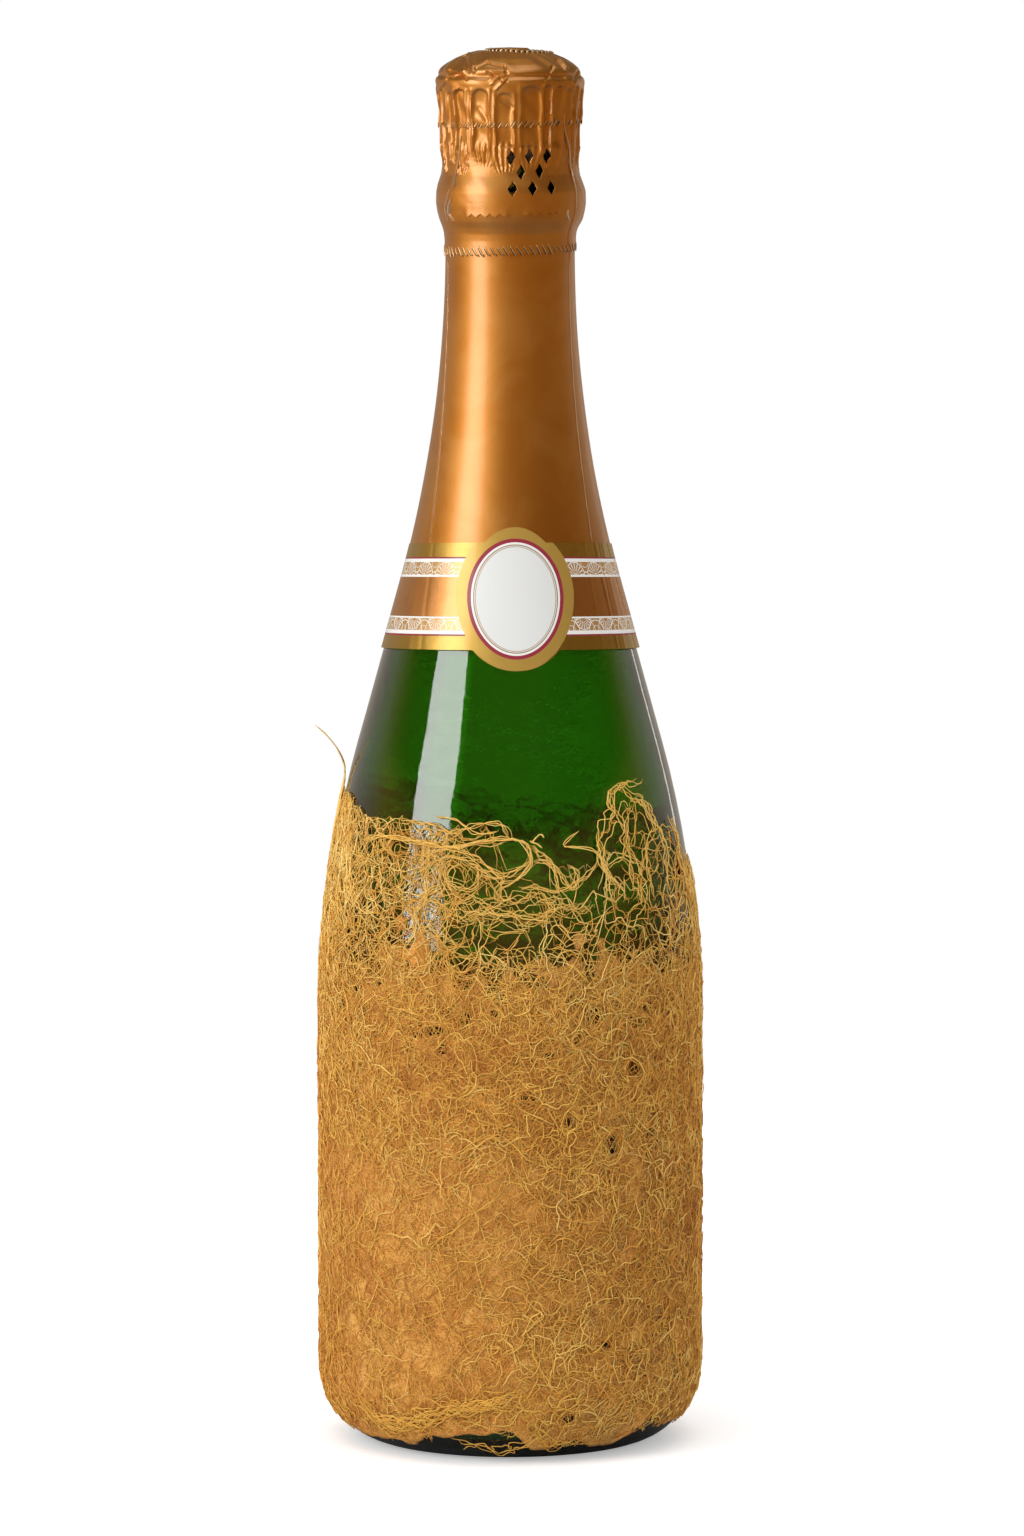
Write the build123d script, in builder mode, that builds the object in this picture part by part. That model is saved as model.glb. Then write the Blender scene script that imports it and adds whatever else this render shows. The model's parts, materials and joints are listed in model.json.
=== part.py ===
from build123d import *

import math
import os

# A 75 cl champagne bottle, standing on its base ring at z = 0, with its axis on Z.
# The front, where the medallion is, faces -Y. All lengths are in millimetres.

# Glass: the outside
glass_height = 300.0
body_radius = 44.0
standing_radius = 30.0
heel_height = 18.0
barrel_top = 103.0
neck_length = 20.0
slope_share = 0.82  # how far the shoulder's slope goes from its least to its steepest
shoulder_share = 0.44  # the shoulder's part of the two bends' radii together

# Glass: the punt and the wall
punt_mouth_radius = 27.5
punt_height = 30.0
punt_dome_radius = 12.0
punt_wall = 5.5
side_wall = 5.35
floor_height = 7.0
valley_inner_share = 0.3  # of the valley's width, the bend beside the punt
valley_outer_share = 0.75  # and the bend beside the wall
inner_turn_share = 0.8  # of the slope's angle, how far the inside turns back to the bore

# Glass: the finish, which is the mouth with its lip and the ring that the wire hooks under.
# Each step is how much less its radius is than the ring's.
ring_radius = 15.0
neck_step_in = 0.4
waist_step_in = 1.7
throat_step_in = 2.1
lip_step_in = 1.7
bore_radius = 8.75
bore_length = 24.0
lip_height = 3.5
ring_drop = 6.4
ring_height = 4.2
throat_height = 0.9
waist_drop = 16.0
finish_rounding = 0.6
mouth_rounding = 1.3

# Wine and cork
wine_drop = 76.0
wine_gap = 0.15
cork_clearance = 0.05
cork_head_radius = 13.4
cork_head_height = 24.2
cork_neck_height = 0.8
cork_flare_height = 7.0
cork_neck_bend = 2.2
cork_crown_rise = 1.8
cork_shoulder_rounding = 2.2
cork_disc_height = 6.0
cork_disc_rounding = 0.8
glue_line = 0.02

# Wire cage, with the cap plate that it holds down
wire_radius = 0.4
belt_wire_radius = 0.55
wire_gap = 0.1
leg_count = 4
leg_turn = 45.0
leg_twist_pitch = 5.0
leg_steps_per_turn = 6
wire_sides = 5
belt_stand_off = 1.6
belt_drop = 12.6
eye_radius = 1.0
eye_wire_radius = 0.4
eye_hook_share = 0.9  # of the eye's radius, how far out the leg meets it
crown_seat_share = 0.75  # of the wire's radius, how far under the crown wire the leg starts
crown_drop = 3.8
plate_thickness = 0.3
plate_rim_height = 0.2
loop_azimuth = 90.0
loop_width = 5.6
loop_top_height = 5.2
loop_shank_height = 3.0
loop_bend = 0.9
loop_sides = 6

# Foil
foil_thickness = 0.25
foil_ease = 0.15
perforation_gap = 0.2
hood_foot_height = 8.3
hood_height = 17.6
hood_slack = 1.9
pleat_count = 24
pleat_depth = 0.35
tear_band_tail = 1.0
tear_band_foot_height = 2.3
tear_band_rounding = 2.5
waist_length = 2.4
hood_height_shares = (0, 0.244, 0.409, 0.568, 0.648, 0.727, 0.778, 0.858, 0.9375, 1)
hood_radius_shares = (0.936, 0.965, 0.98, 1, 0.942, 0.879, 0.867, 0.737, 0.561, 0.26)
pleat_shares = (0.5, 1, 1, 0.8, 0.7, 0.6, 0.6, 0.5, 0.25, 0)
vent_width = 2.1
vent_height = 3.6
vent_pitch = 16.2  # degrees round the neck
vent_top_height = 0.5
vent_row_drop = 3.7
vent_rows = ((0.8, 3), (9.3, 2), (1.9, 3))  # from the top: first azimuth in degrees, count

# Neck label
medallion_width = 26.8
medallion_height = 33.2
medallion_centre_height = 198.4
medallion_azimuth = 3.3
label_height = 25.4
label_drop = 0.2  # how far the collar's middle lies below the medallion's
label_thickness = 0.25
label_glue = 0.08
label_overlap = 2.5

# Fibre wrap
wrap_thickness = 0.85
wrap_gap = 0.15
wrap_bottom = 5.0
wrap_label_gap = 24.8
scallop_count = 13
scallop_width = 15.0
scallop_depth = 9.0
scallop_sway_share = 0.4
lace_hole_size = 10.4
lace_hole_drop = 24.5
lace_hole_azimuth = 4.0

# How far a cutting shape runs past what it cuts
overrun = 1.0

os.makedirs("parts", exist_ok=True)

# The radii of the neck and the finish
neck_radius = ring_radius - neck_step_in
waist_radius = ring_radius - waist_step_in
throat_radius = ring_radius - throat_step_in
lip_radius = ring_radius - lip_step_in
neck_start = glass_height - neck_length

# The shoulder is two bends with a straight slope between them. Their sizes follow from the
# step in radius and the rise in height between the barrel and the neck.
neck_step = body_radius - neck_radius
neck_rise = neck_start - barrel_top
slope_angle = 2 * math.degrees(math.atan(slope_share * neck_step / neck_rise))
slope_sine = math.sin(math.radians(slope_angle))
slope_cosine = math.cos(math.radians(slope_angle))
both_bends = (neck_rise * slope_sine - neck_step * slope_cosine) / (1 - slope_cosine)
slope_length = (neck_step - both_bends * (1 - slope_cosine)) / slope_sine
shoulder_bend = both_bends * shoulder_share
neck_bend = both_bends - shoulder_bend

# Heights and radii that more than one piece uses
ring_top = glass_height - ring_drop
ring_bottom = ring_top - ring_height
belt_height = glass_height - belt_drop
belt_radius = waist_radius + belt_stand_off
cork_top = glass_height + cork_head_height
hood_foot = glass_height + hood_foot_height
leg_thickness = 4 * wire_radius + wire_gap / 2
hood_radius = cork_head_radius + wire_gap + leg_thickness + foil_thickness + hood_slack


def front_direction(azimuth):
    """A level direction, turned by azimuth degrees from the front towards the right."""
    turn = math.radians(azimuth)
    return Vector(math.sin(turn), -math.cos(turn), 0)


def front_plane(azimuth, height):
    """An upright plane through the axis that faces azimuth degrees from the front."""
    facing = front_direction(azimuth)
    return Plane(
        origin=(0, 0, height), x_dir=front_direction(azimuth + 90), z_dir=facing
    )


def upright_plane(azimuth):
    """The half plane of a profile: its X points outwards at azimuth, its Y points up."""
    return Plane(
        origin=(0, 0, 0),
        x_dir=front_direction(azimuth),
        z_dir=front_direction(azimuth - 90),
    )


def glass_profile(stand_off):
    """The outside of the glass from its standing ring to its neck, moved out by stand_off."""
    with BuildSketch(Plane.XZ) as profile:
        with BuildLine():
            heel = EllipticalCenterArc(
                (standing_radius, heel_height),
                body_radius - standing_radius + stand_off,
                heel_height + stand_off,
                start_angle=270,
                arc_size=90,
            )
            barrel = Line(heel @ 1, (body_radius + stand_off, barrel_top))
            shoulder = JernArc(barrel @ 1, (0, 1), shoulder_bend + stand_off, slope_angle)
            slope = PolarLine(shoulder @ 1, slope_length, direction=shoulder % 1)
            neck = JernArc(slope @ 1, slope % 1, neck_bend - stand_off, -slope_angle)
            Polyline(neck @ 1, (0, neck_start), (0, (heel @ 0).Y), heel @ 0)
        make_face()
    return profile.sketch


def glass_skin(gap, thickness, bottom, top):
    """A thin shell that lies on the glass, gap away from it, between two heights."""
    with BuildPart() as skin:
        revolve(glass_profile(gap + thickness), axis=Axis.Z)
        revolve(glass_profile(gap), axis=Axis.Z, mode=Mode.SUBTRACT)
        split(bisect_by=Plane.XY.offset(bottom), keep=Keep.TOP)
        split(bisect_by=Plane.XY.offset(top), keep=Keep.BOTTOM)
    return skin


# The punt is a cone that runs tangent into a dome. Its lean is the angle of the tangent point.
punt_centre = punt_height - punt_dome_radius
punt_reach = math.hypot(punt_mouth_radius, punt_centre)
punt_lean = math.acos(punt_dome_radius / punt_reach) - math.atan2(
    punt_centre, punt_mouth_radius
)


def punt_tangent(wall):
    """Where the punt's cone meets its dome, on a surface that lies wall above the outside."""
    radius = punt_dome_radius + wall
    return Vector(
        radius * math.cos(punt_lean), punt_centre + radius * math.sin(punt_lean)
    )


def cavity_profile(gap):
    """The inside of the glass up to its mouth, moved in by gap."""
    wall = side_wall + gap
    tangent = punt_tangent(punt_wall + gap)
    floor = floor_height + gap
    valley_inner = tangent.X + (tangent.Y - floor) * math.tan(punt_lean)
    valley = body_radius - wall - valley_inner
    with BuildSketch(Plane.XZ) as profile:
        with BuildLine():
            dome = CenterArc(
                (0, punt_centre),
                punt_dome_radius + punt_wall + gap,
                90,
                math.degrees(punt_lean) - 90,
            )
            heel = FilletPolyline(
                dome @ 1,
                (valley_inner, floor),
                (body_radius - wall, floor),
                (body_radius - wall, barrel_top),
                radius=[valley * valley_inner_share, valley * valley_outer_share],
            )
            shoulder = JernArc(heel @ 1, (0, 1), shoulder_bend - wall, slope_angle)
            slope = PolarLine(shoulder @ 1, slope_length, direction=shoulder % 1)
            inner_turn = slope_angle * inner_turn_share
            neck = JernArc(slope @ 1, slope % 1, neck_bend + wall, -inner_turn)
            Polyline(
                neck @ 1,
                (bore_radius - gap, glass_height - bore_length),
                (bore_radius - gap, glass_height),
                (0, glass_height),
                dome @ 0,
            )
        make_face()
    return profile.sketch


# Glass bottle: moulded in one piece, with the finish at its mouth
with BuildPart() as glass_bottle:
    revolve(glass_profile(0), axis=Axis.Z)
    with BuildSketch(Plane.XZ):
        with BuildLine():
            finish = FilletPolyline(
                (neck_radius, neck_start),
                (neck_radius, glass_height - waist_drop),
                (waist_radius, glass_height - waist_drop + lip_height),
                (waist_radius, ring_bottom - finish_rounding / 2),
                (ring_radius, ring_bottom),
                (ring_radius, ring_top),
                (throat_radius, ring_top + throat_height / 2),
                (throat_radius, glass_height - lip_height),
                (lip_radius, glass_height - lip_height),
                (lip_radius, glass_height),
                (bore_radius, glass_height),
                radius=[
                    finish_rounding,
                    finish_rounding,
                    finish_rounding / 3,
                    finish_rounding,
                    finish_rounding,
                    finish_rounding / 2,
                    finish_rounding / 4,
                    finish_rounding / 2,
                    mouth_rounding,
                ],
            )
            Polyline(finish @ 1, (0, glass_height), (0, neck_start), finish @ 0)
        make_face()
    revolve(axis=Axis.Z)
    with BuildSketch(Plane.XZ):
        with BuildLine():
            dome = CenterArc(
                (0, punt_centre), punt_dome_radius, 90, math.degrees(punt_lean) - 90
            )
            Polyline(dome @ 1, (punt_mouth_radius, 0), (0, 0), dome @ 0)
        make_face()
    revolve(axis=Axis.Z, mode=Mode.SUBTRACT)
    revolve(cavity_profile(0), axis=Axis.Z, mode=Mode.SUBTRACT)
    top_circles = edges().filter_by(lambda edge: edge.is_closed).group_by(Axis.Z)[-1]
    fillet(top_circles.sort_by(SortBy.RADIUS)[0], radius=mouth_rounding)
glass_bottle.part.label = "glass_bottle"
export_step(glass_bottle.part, "parts/glass_bottle.step")

# Wine: fills the glass up to its level in the neck
with BuildPart() as wine:
    revolve(cavity_profile(wine_gap), axis=Axis.Z)
    split(bisect_by=Plane.XY.offset(glass_height - wine_drop), keep=Keep.BOTTOM)
wine.part.label = "wine"
export_step(wine.part, "parts/wine.step")

with BuildPart() as brimful:
    revolve(cavity_profile(0), axis=Axis.Z)
print(f"wine {wine.part.volume / 1000:.0f} ml, brimful {brimful.part.volume / 1000:.0f} ml")

# The cork's crown is a shallow dome with a rounded shoulder
crown_dome_radius = (cork_head_radius**2 + cork_crown_rise**2) / (2 * cork_crown_rise)
crown_dome_centre = cork_top - crown_dome_radius


def crown_blank(stand_off, bottom):
    """The cork's head above bottom, grown all over by stand_off."""
    dome_radius = crown_dome_radius + stand_off
    head_radius = cork_head_radius + stand_off
    dome_share = math.degrees(math.asin(head_radius / dome_radius))
    with BuildPart() as blank:
        with BuildSketch(Plane.XZ):
            with BuildLine():
                dome = CenterArc(
                    (0, crown_dome_centre), dome_radius, 90 - dome_share, dome_share
                )
                Polyline(dome @ 1, (0, bottom), (head_radius, bottom), dome @ 0)
            make_face()
        revolve(axis=Axis.Z)
        shoulder = edges().filter_by(lambda edge: edge.is_closed).sort_by(Axis.Z)[-1]
        fillet(shoulder, radius=cork_shoulder_rounding + stand_off)
    return blank.part


# Cork: an agglomerated body with a mushroom head, and two natural discs glued under it
plug_radius = bore_radius - cork_clearance
plug_bottom = glass_height - bore_length
body_bottom = plug_bottom + 2 * (cork_disc_height + glue_line)
flare_top = glass_height + cork_neck_height + cork_flare_height
with BuildPart() as cork_body:
    add(crown_blank(0, flare_top))
    with BuildSketch(Plane.XZ):
        with BuildLine():
            side = FilletPolyline(
                (plug_radius, body_bottom),
                (plug_radius, glass_height + cork_neck_height),
                (cork_head_radius, flare_top - cork_neck_bend),
                (cork_head_radius, flare_top),
                radius=cork_neck_bend,
            )
            Polyline(side @ 1, (0, flare_top), (0, body_bottom), side @ 0)
        make_face()
    revolve(axis=Axis.Z)
cork_body.part.label = "cork_body"
export_step(cork_body.part, "parts/cork_body.step")


def cork_disc(label, bottom, rounding):
    """A disc of natural cork that fills the bore, with a rounded lower edge if it has rounding."""
    with BuildPart() as disc:
        with BuildSketch(Plane.XY.offset(bottom)):
            Circle(plug_radius)
        extrude(amount=cork_disc_height)
        if rounding:
            fillet(edges().group_by(Axis.Z)[0], radius=rounding)
    disc.part.label = label
    export_step(disc.part, f"parts/{label}.step")


cork_disc("cork_disc_lower", plug_bottom, cork_disc_rounding)
cork_disc("cork_disc_upper", plug_bottom + cork_disc_height + glue_line, 0)

# Cap plate: pressed tin plate that spreads the crown wire's pull over the cork
plate_seat = cork_top - cork_crown_rise - cork_shoulder_rounding - plate_rim_height
with BuildPart() as cap_plate:
    add(crown_blank(plate_thickness + glue_line, plate_seat))
    add(crown_blank(glue_line, plate_seat - overrun), mode=Mode.SUBTRACT)
cap_plate.part.label = "muselet_plaque"
export_step(cap_plate.part, "parts/muselet_plaque.step")

# Wire cage: a crown ring and four legs, each of two wires twisted together, with an eye
# at the foot that the belt wire runs through. The legs pass outside the glass ring.
leg_lip_radius = cork_head_radius + wire_gap + leg_thickness / 2
leg_ring_radius = ring_radius + wire_gap + leg_thickness / 2
crown_radius = cork_head_radius + glue_line + plate_thickness + wire_gap + wire_radius
crown_height = cork_top - crown_drop
eye_top = belt_height + eye_radius
with BuildLine(Plane.XZ) as leg_path:
    FilletPolyline(
        (crown_radius, crown_height - wire_radius * crown_seat_share),
        (leg_lip_radius, crown_height - leg_thickness),
        (leg_lip_radius, glass_height - leg_thickness),
        (leg_ring_radius, ring_top + leg_thickness / 4),
        (leg_ring_radius, ring_bottom + leg_thickness / 2),
        (belt_radius + eye_radius * eye_hook_share, eye_top),
        radius=leg_thickness,
    )
leg_wire = leg_path.wire()
leg_steps = round(leg_wire.length / leg_twist_pitch * leg_steps_per_turn)


def wire_section(share, phase):
    """The plane across one of a leg's two wires, at a share of the way down the leg."""
    along = leg_wire % share
    sideways = Vector(0, -1, 0)
    outwards = along.cross(sideways)
    twist = math.radians(phase + 360 * share * leg_wire.length / leg_twist_pitch)
    reach = wire_radius + wire_gap / 4
    stray = sideways * math.cos(twist) + outwards * math.sin(twist)
    centre = leg_wire @ share + stray * reach
    return Plane(origin=centre, x_dir=sideways, z_dir=along)


with BuildPart() as leg_wire_front:
    for step in range(leg_steps + 1):
        with BuildSketch(wire_section(step / leg_steps, 0)):
            RegularPolygon(wire_radius, wire_sides)
    loft(ruled=True)

with BuildPart() as leg_wire_back:
    for step in range(leg_steps + 1):
        with BuildSketch(wire_section(step / leg_steps, 180)):
            RegularPolygon(wire_radius, wire_sides)
    loft(ruled=True)


def wire_ring(plane, ring_centre_radius, wire, spread=180):
    """A ring of wire round the plane's Z axis, as far as spread degrees each side of its X axis."""
    with BuildPart() as ring:
        with BuildSketch(Plane.XZ):
            with Locations((ring_centre_radius, 0)):
                Circle(wire)
        revolve(axis=Axis.Z, revolution_arc=2 * spread)
    return plane.location * ring.part.rotate(Axis.Z, -spread)


eye_plane = Plane(origin=(belt_radius, 0, belt_height), x_dir=(1, 0, 0), z_dir=(0, -1, 0))
leg_eye = wire_ring(eye_plane, eye_radius, eye_wire_radius)
with BuildPart() as muselet_cage:
    add(wire_ring(Plane.XY.offset(crown_height), crown_radius, wire_radius))
    add(
        [
            piece.rotate(Axis.Z, leg_turn + 360 / leg_count * leg)
            for leg in range(leg_count)
            for piece in (leg_wire_front.part, leg_wire_back.part, leg_eye)
        ],
        clean=False,
    )
muselet_cage.part.label = "muselet_cage"
export_step(muselet_cage.part, "parts/muselet_cage.step")

# Belt wire: runs through the eyes of the four legs, under the glass ring
with BuildPart() as muselet_belt:
    add(wire_ring(Plane.XY.offset(belt_height), belt_radius, belt_wire_radius))
muselet_belt.part.label = "muselet_belt"
export_step(muselet_belt.part, "parts/muselet_belt.step")

# Wire loop: folded up over the glass ring, it swings out to be turned. Its foot hooks over the
# belt from outside, so that it clears the glass ring when the cage is lifted.
hook_reach = ring_radius + wire_gap + eye_wire_radius - belt_radius
hook_spread = math.degrees(math.acos(hook_reach / eye_radius))
loop_hook = wire_ring(eye_plane, eye_radius, eye_wire_radius, hook_spread)
loop_plane = upright_plane(loop_azimuth)
half_loop = loop_width / 2
loop_outer = leg_ring_radius - wire_radius
loop_inner = leg_lip_radius
loop_path_points = (
    (loop_outer, belt_height + belt_wire_radius + wire_gap, wire_radius),
    (loop_outer, eye_top + loop_shank_height, half_loop),
    (loop_outer, ring_top + wire_gap, half_loop),
    (loop_inner, glass_height - leg_thickness, half_loop),
    (loop_inner, glass_height + loop_top_height, half_loop),
)
loop_points = list(loop_path_points) + [
    (radius, height, -side) for radius, height, side in reversed(loop_path_points)
]
with BuildPart() as muselet_loop:
    with BuildLine(loop_plane) as loop_line:
        FilletPolyline(*loop_points, radius=loop_bend)
    loop_wire = loop_line.wire()
    with BuildSketch(Plane(origin=loop_wire @ 0, z_dir=loop_wire % 0)):
        RegularPolygon(wire_radius, loop_sides)
    sweep(path=loop_wire)
    add(loop_hook.rotate(Axis.Z, loop_azimuth - 90))
muselet_loop.part.label = "muselet_loop"
export_step(muselet_loop.part, "parts/muselet_loop.step")

# Foil tear band: the strip between the two perforation lines, which swells over the glass ring
band_foot_radius = neck_radius + foil_ease + foil_thickness
band_bulge_radius = ring_radius + wire_gap + leg_thickness + foil_ease + foil_thickness
band_waist_radius = leg_lip_radius + leg_thickness / 2 + foil_ease + foil_thickness
band_foot = neck_start - tear_band_tail
hood_foot_radius = hood_radius * hood_radius_shares[0]
with BuildPart() as foil_tear_band:
    with BuildSketch(Plane.XZ):
        with BuildLine():
            outside = FilletPolyline(
                (band_foot_radius, band_foot),
                (band_foot_radius, neck_start + tear_band_foot_height),
                (band_bulge_radius, belt_height + eye_radius + eye_wire_radius),
                (band_bulge_radius, ring_top + leg_thickness / 4),
                (band_waist_radius, glass_height - leg_thickness),
                (band_waist_radius, glass_height - leg_thickness + waist_length),
                (hood_foot_radius, hood_foot - perforation_gap),
                radius=tear_band_rounding,
            )
            Polyline(
                outside @ 1, (0, hood_foot - perforation_gap), (0, band_foot), outside @ 0
            )
        make_face()
    revolve(axis=Axis.Z)
    open_ends = faces().filter_by(GeomType.PLANE)
    offset(amount=-foil_thickness, openings=open_ends)
    for row, (first_azimuth, count) in enumerate(vent_rows):
        height = glass_height + vent_top_height - vent_row_drop * row
        for vent in range(count):
            with BuildSketch(front_plane(first_azimuth + vent_pitch * vent, height)):
                with BuildLine():
                    Polyline(
                        (vent_width / 2, 0),
                        (0, vent_height / 2),
                        (-vent_width / 2, 0),
                        (0, -vent_height / 2),
                        close=True,
                    )
                make_face()
            extrude(amount=hood_radius + overrun, mode=Mode.SUBTRACT)
foil_tear_band.part.label = "foil_tear_band"
export_step(foil_tear_band.part, "parts/foil_tear_band.step")


# Foil hood: pleated where the flat foil is gathered round the wire cage, and drawn smooth
# over the crown. Each ring of its outline is a zigzag of ridges and valleys.
hood_rings = [
    (hood_foot + hood_height * height, hood_radius * radius, pleat_depth * depth)
    for height, radius, depth in zip(hood_height_shares, hood_radius_shares, pleat_shares)
]


def pleated_ring(height, radius, depth):
    """A zigzag ring of foil, as a face at its height."""
    corners = 2 * pleat_count
    points = [
        (
            (radius - depth * (corner % 2)) * math.cos(2 * math.pi * corner / corners),
            (radius - depth * (corner % 2)) * math.sin(2 * math.pi * corner / corners),
        )
        for corner in range(corners)
    ]
    with BuildSketch(Plane.XY.offset(height)) as ring:
        with BuildLine():
            Polyline(*points, close=True)
        make_face()
    return ring.sketch


def moved_in(rings, wall):
    """The rings of the hood's inside, wall in from its outside, with an overrun below."""
    inside = [(rings[0][0] - overrun, rings[0][1] - wall, rings[0][2])]
    for lower, ring, upper in zip(rings[:1] + rings, rings, rings[1:] + rings[-1:]):
        rise = upper[0] - lower[0]
        run = upper[1] - lower[1]
        slant = math.hypot(rise, run)
        inside.append((ring[0] + wall * run / slant, ring[1] - wall * rise / slant, ring[2]))
    return inside


with BuildPart() as foil_hood:
    loft([pleated_ring(*ring) for ring in hood_rings], ruled=True)
    loft(
        [pleated_ring(*ring) for ring in moved_in(hood_rings, foil_thickness)],
        ruled=True,
        mode=Mode.SUBTRACT,
    )
foil_hood.part.label = "foil_hood"
export_step(foil_hood.part, "parts/foil_hood.step")

# Foil skirt: smooth on the neck, its lower edge hidden behind the label
medallion_bottom = medallion_centre_height - medallion_height / 2
medallion_top = medallion_centre_height + medallion_height / 2
label_bottom = medallion_centre_height - label_drop - label_height / 2
foil_skirt = glass_skin(
    label_glue, foil_thickness, label_bottom + label_overlap, band_foot - perforation_gap
)
foil_skirt.part.label = "foil_skirt"
export_step(foil_skirt.part, "parts/foil_skirt.step")

# Neck label: one die-cut piece of paper, a collar with an oval medallion over its front
label_sheet = glass_skin(
    label_glue + foil_thickness + label_glue,
    label_thickness,
    medallion_bottom,
    medallion_top,
)
with BuildPart() as label_cut:
    with BuildSketch(Plane.XY.offset(label_bottom)):
        Circle(body_radius)
    extrude(amount=label_height)
    with BuildSketch(front_plane(medallion_azimuth, medallion_centre_height)):
        Ellipse(medallion_width / 2, medallion_height / 2)
    extrude(amount=body_radius)
with BuildPart() as neck_label:
    add(label_sheet.part)
    add(label_cut.part, mode=Mode.INTERSECT)
neck_label.part.label = "neck_label"
export_step(neck_label.part, "parts/neck_label.step")

# Fibre wrap: a thin felted mat round the barrel, with an uneven lacy upper edge
wrap_top = medallion_bottom - wrap_label_gap
wrap_sheet = glass_skin(wrap_gap, wrap_thickness, wrap_bottom, wrap_top)
with BuildPart() as fibre_wrap:
    add(wrap_sheet.part)
    for scallop in range(scallop_count):
        azimuth = 360 / scallop_count * scallop
        depth = scallop_depth * (1 + scallop_sway_share * math.cos(math.radians(3 * azimuth)))
        with BuildSketch(front_plane(azimuth, wrap_top)):
            Ellipse(scallop_width / 2, depth)
        extrude(amount=body_radius + wrap_thickness + overrun, mode=Mode.SUBTRACT)
    with BuildSketch(front_plane(lace_hole_azimuth, wrap_top - lace_hole_drop)):
        Ellipse(lace_hole_size / 2, lace_hole_size / 2)
    extrude(amount=body_radius + wrap_thickness + overrun, mode=Mode.SUBTRACT)
fibre_wrap.part.label = "fibre_wrap"
export_step(fibre_wrap.part, "parts/fibre_wrap.step")
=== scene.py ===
import json
import math
from functools import partialmethod

import bmesh
import bpy
import numpy as np
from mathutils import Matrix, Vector

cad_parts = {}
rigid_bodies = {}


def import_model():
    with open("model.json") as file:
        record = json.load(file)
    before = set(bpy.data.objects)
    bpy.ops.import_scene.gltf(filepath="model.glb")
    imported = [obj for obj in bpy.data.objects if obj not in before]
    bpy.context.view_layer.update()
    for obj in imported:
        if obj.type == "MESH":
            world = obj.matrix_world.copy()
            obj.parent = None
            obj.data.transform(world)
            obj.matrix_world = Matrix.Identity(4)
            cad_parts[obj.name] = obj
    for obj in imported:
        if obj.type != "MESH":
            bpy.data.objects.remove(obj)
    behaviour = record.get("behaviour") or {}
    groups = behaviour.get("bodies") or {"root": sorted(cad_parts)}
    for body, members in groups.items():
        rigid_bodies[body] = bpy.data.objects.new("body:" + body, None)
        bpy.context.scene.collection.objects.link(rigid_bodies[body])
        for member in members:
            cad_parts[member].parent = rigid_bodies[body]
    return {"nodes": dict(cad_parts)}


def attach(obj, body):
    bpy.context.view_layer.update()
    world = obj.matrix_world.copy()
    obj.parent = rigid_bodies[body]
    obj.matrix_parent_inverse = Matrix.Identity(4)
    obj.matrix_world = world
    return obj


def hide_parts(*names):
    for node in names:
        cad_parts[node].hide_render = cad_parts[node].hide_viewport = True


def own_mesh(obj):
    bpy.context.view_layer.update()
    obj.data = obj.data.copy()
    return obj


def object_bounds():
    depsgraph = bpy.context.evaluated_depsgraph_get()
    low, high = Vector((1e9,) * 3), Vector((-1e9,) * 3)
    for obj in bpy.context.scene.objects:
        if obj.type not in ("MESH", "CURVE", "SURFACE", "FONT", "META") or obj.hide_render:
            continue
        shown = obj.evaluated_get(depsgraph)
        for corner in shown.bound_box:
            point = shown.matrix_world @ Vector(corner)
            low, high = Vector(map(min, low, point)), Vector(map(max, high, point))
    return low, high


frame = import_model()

# Studio: a white sweep, a tall soft light on the left, a narrow one behind on the right and a
# weak one above. The camera stands 1.9 m off, a little higher than the bottle. It takes the
# photograph's frame, so its aim is worked out from where the axis and the base are there.
photo_width = 1024
photo_height = 1536
photo_axis_column = 510
photo_ground_row = 1442
photo_pixels_per_metre = 4267
camera_distance = 1.9
camera_height = 0.36
camera_sensor = 36.0
floor_radius = 0.55
floor_white = (0.86, 0.86, 0.86)
floor_mirrored = (0.12, 0.12, 0.12)
floor_camera_glow = 0.35
fill_level = 0.98
front_glow = (0.44, 0.24, 0.05)
back_glow = (0.36, 0.32, 0.27)
back_zone = (0.05, 0.70)
right_zone = (0.25, 0.75)
right_share = 0.75
roof_zone = (0.17, 0.30)
roof_share = 0.20

for leftover in [thing for thing in bpy.data.objects if thing.name in ("Cube", "Light", "Camera")]:
    bpy.data.objects.remove(leftover)
cad_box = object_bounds()
nodes = frame["nodes"]
mid_height = (cad_box[0].z + cad_box[1].z) / 2
lamps = (
    # name, azimuth, distance and height, height aimed at, width, tall, watts and share of shine
    ("key_light", -56.0, 1.25, 0.60, mid_height, 0.68, 1.0, 9.5, 0.58),
    ("rim_light", 147.0, 1.2, mid_height, mid_height, 0.05, 1.1, 0.20, 1.0),
    ("top_light", 0.0, 0.2, 1.3, 0.0, 0.9, 0.9, 3.0, 0.15),
)


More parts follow.
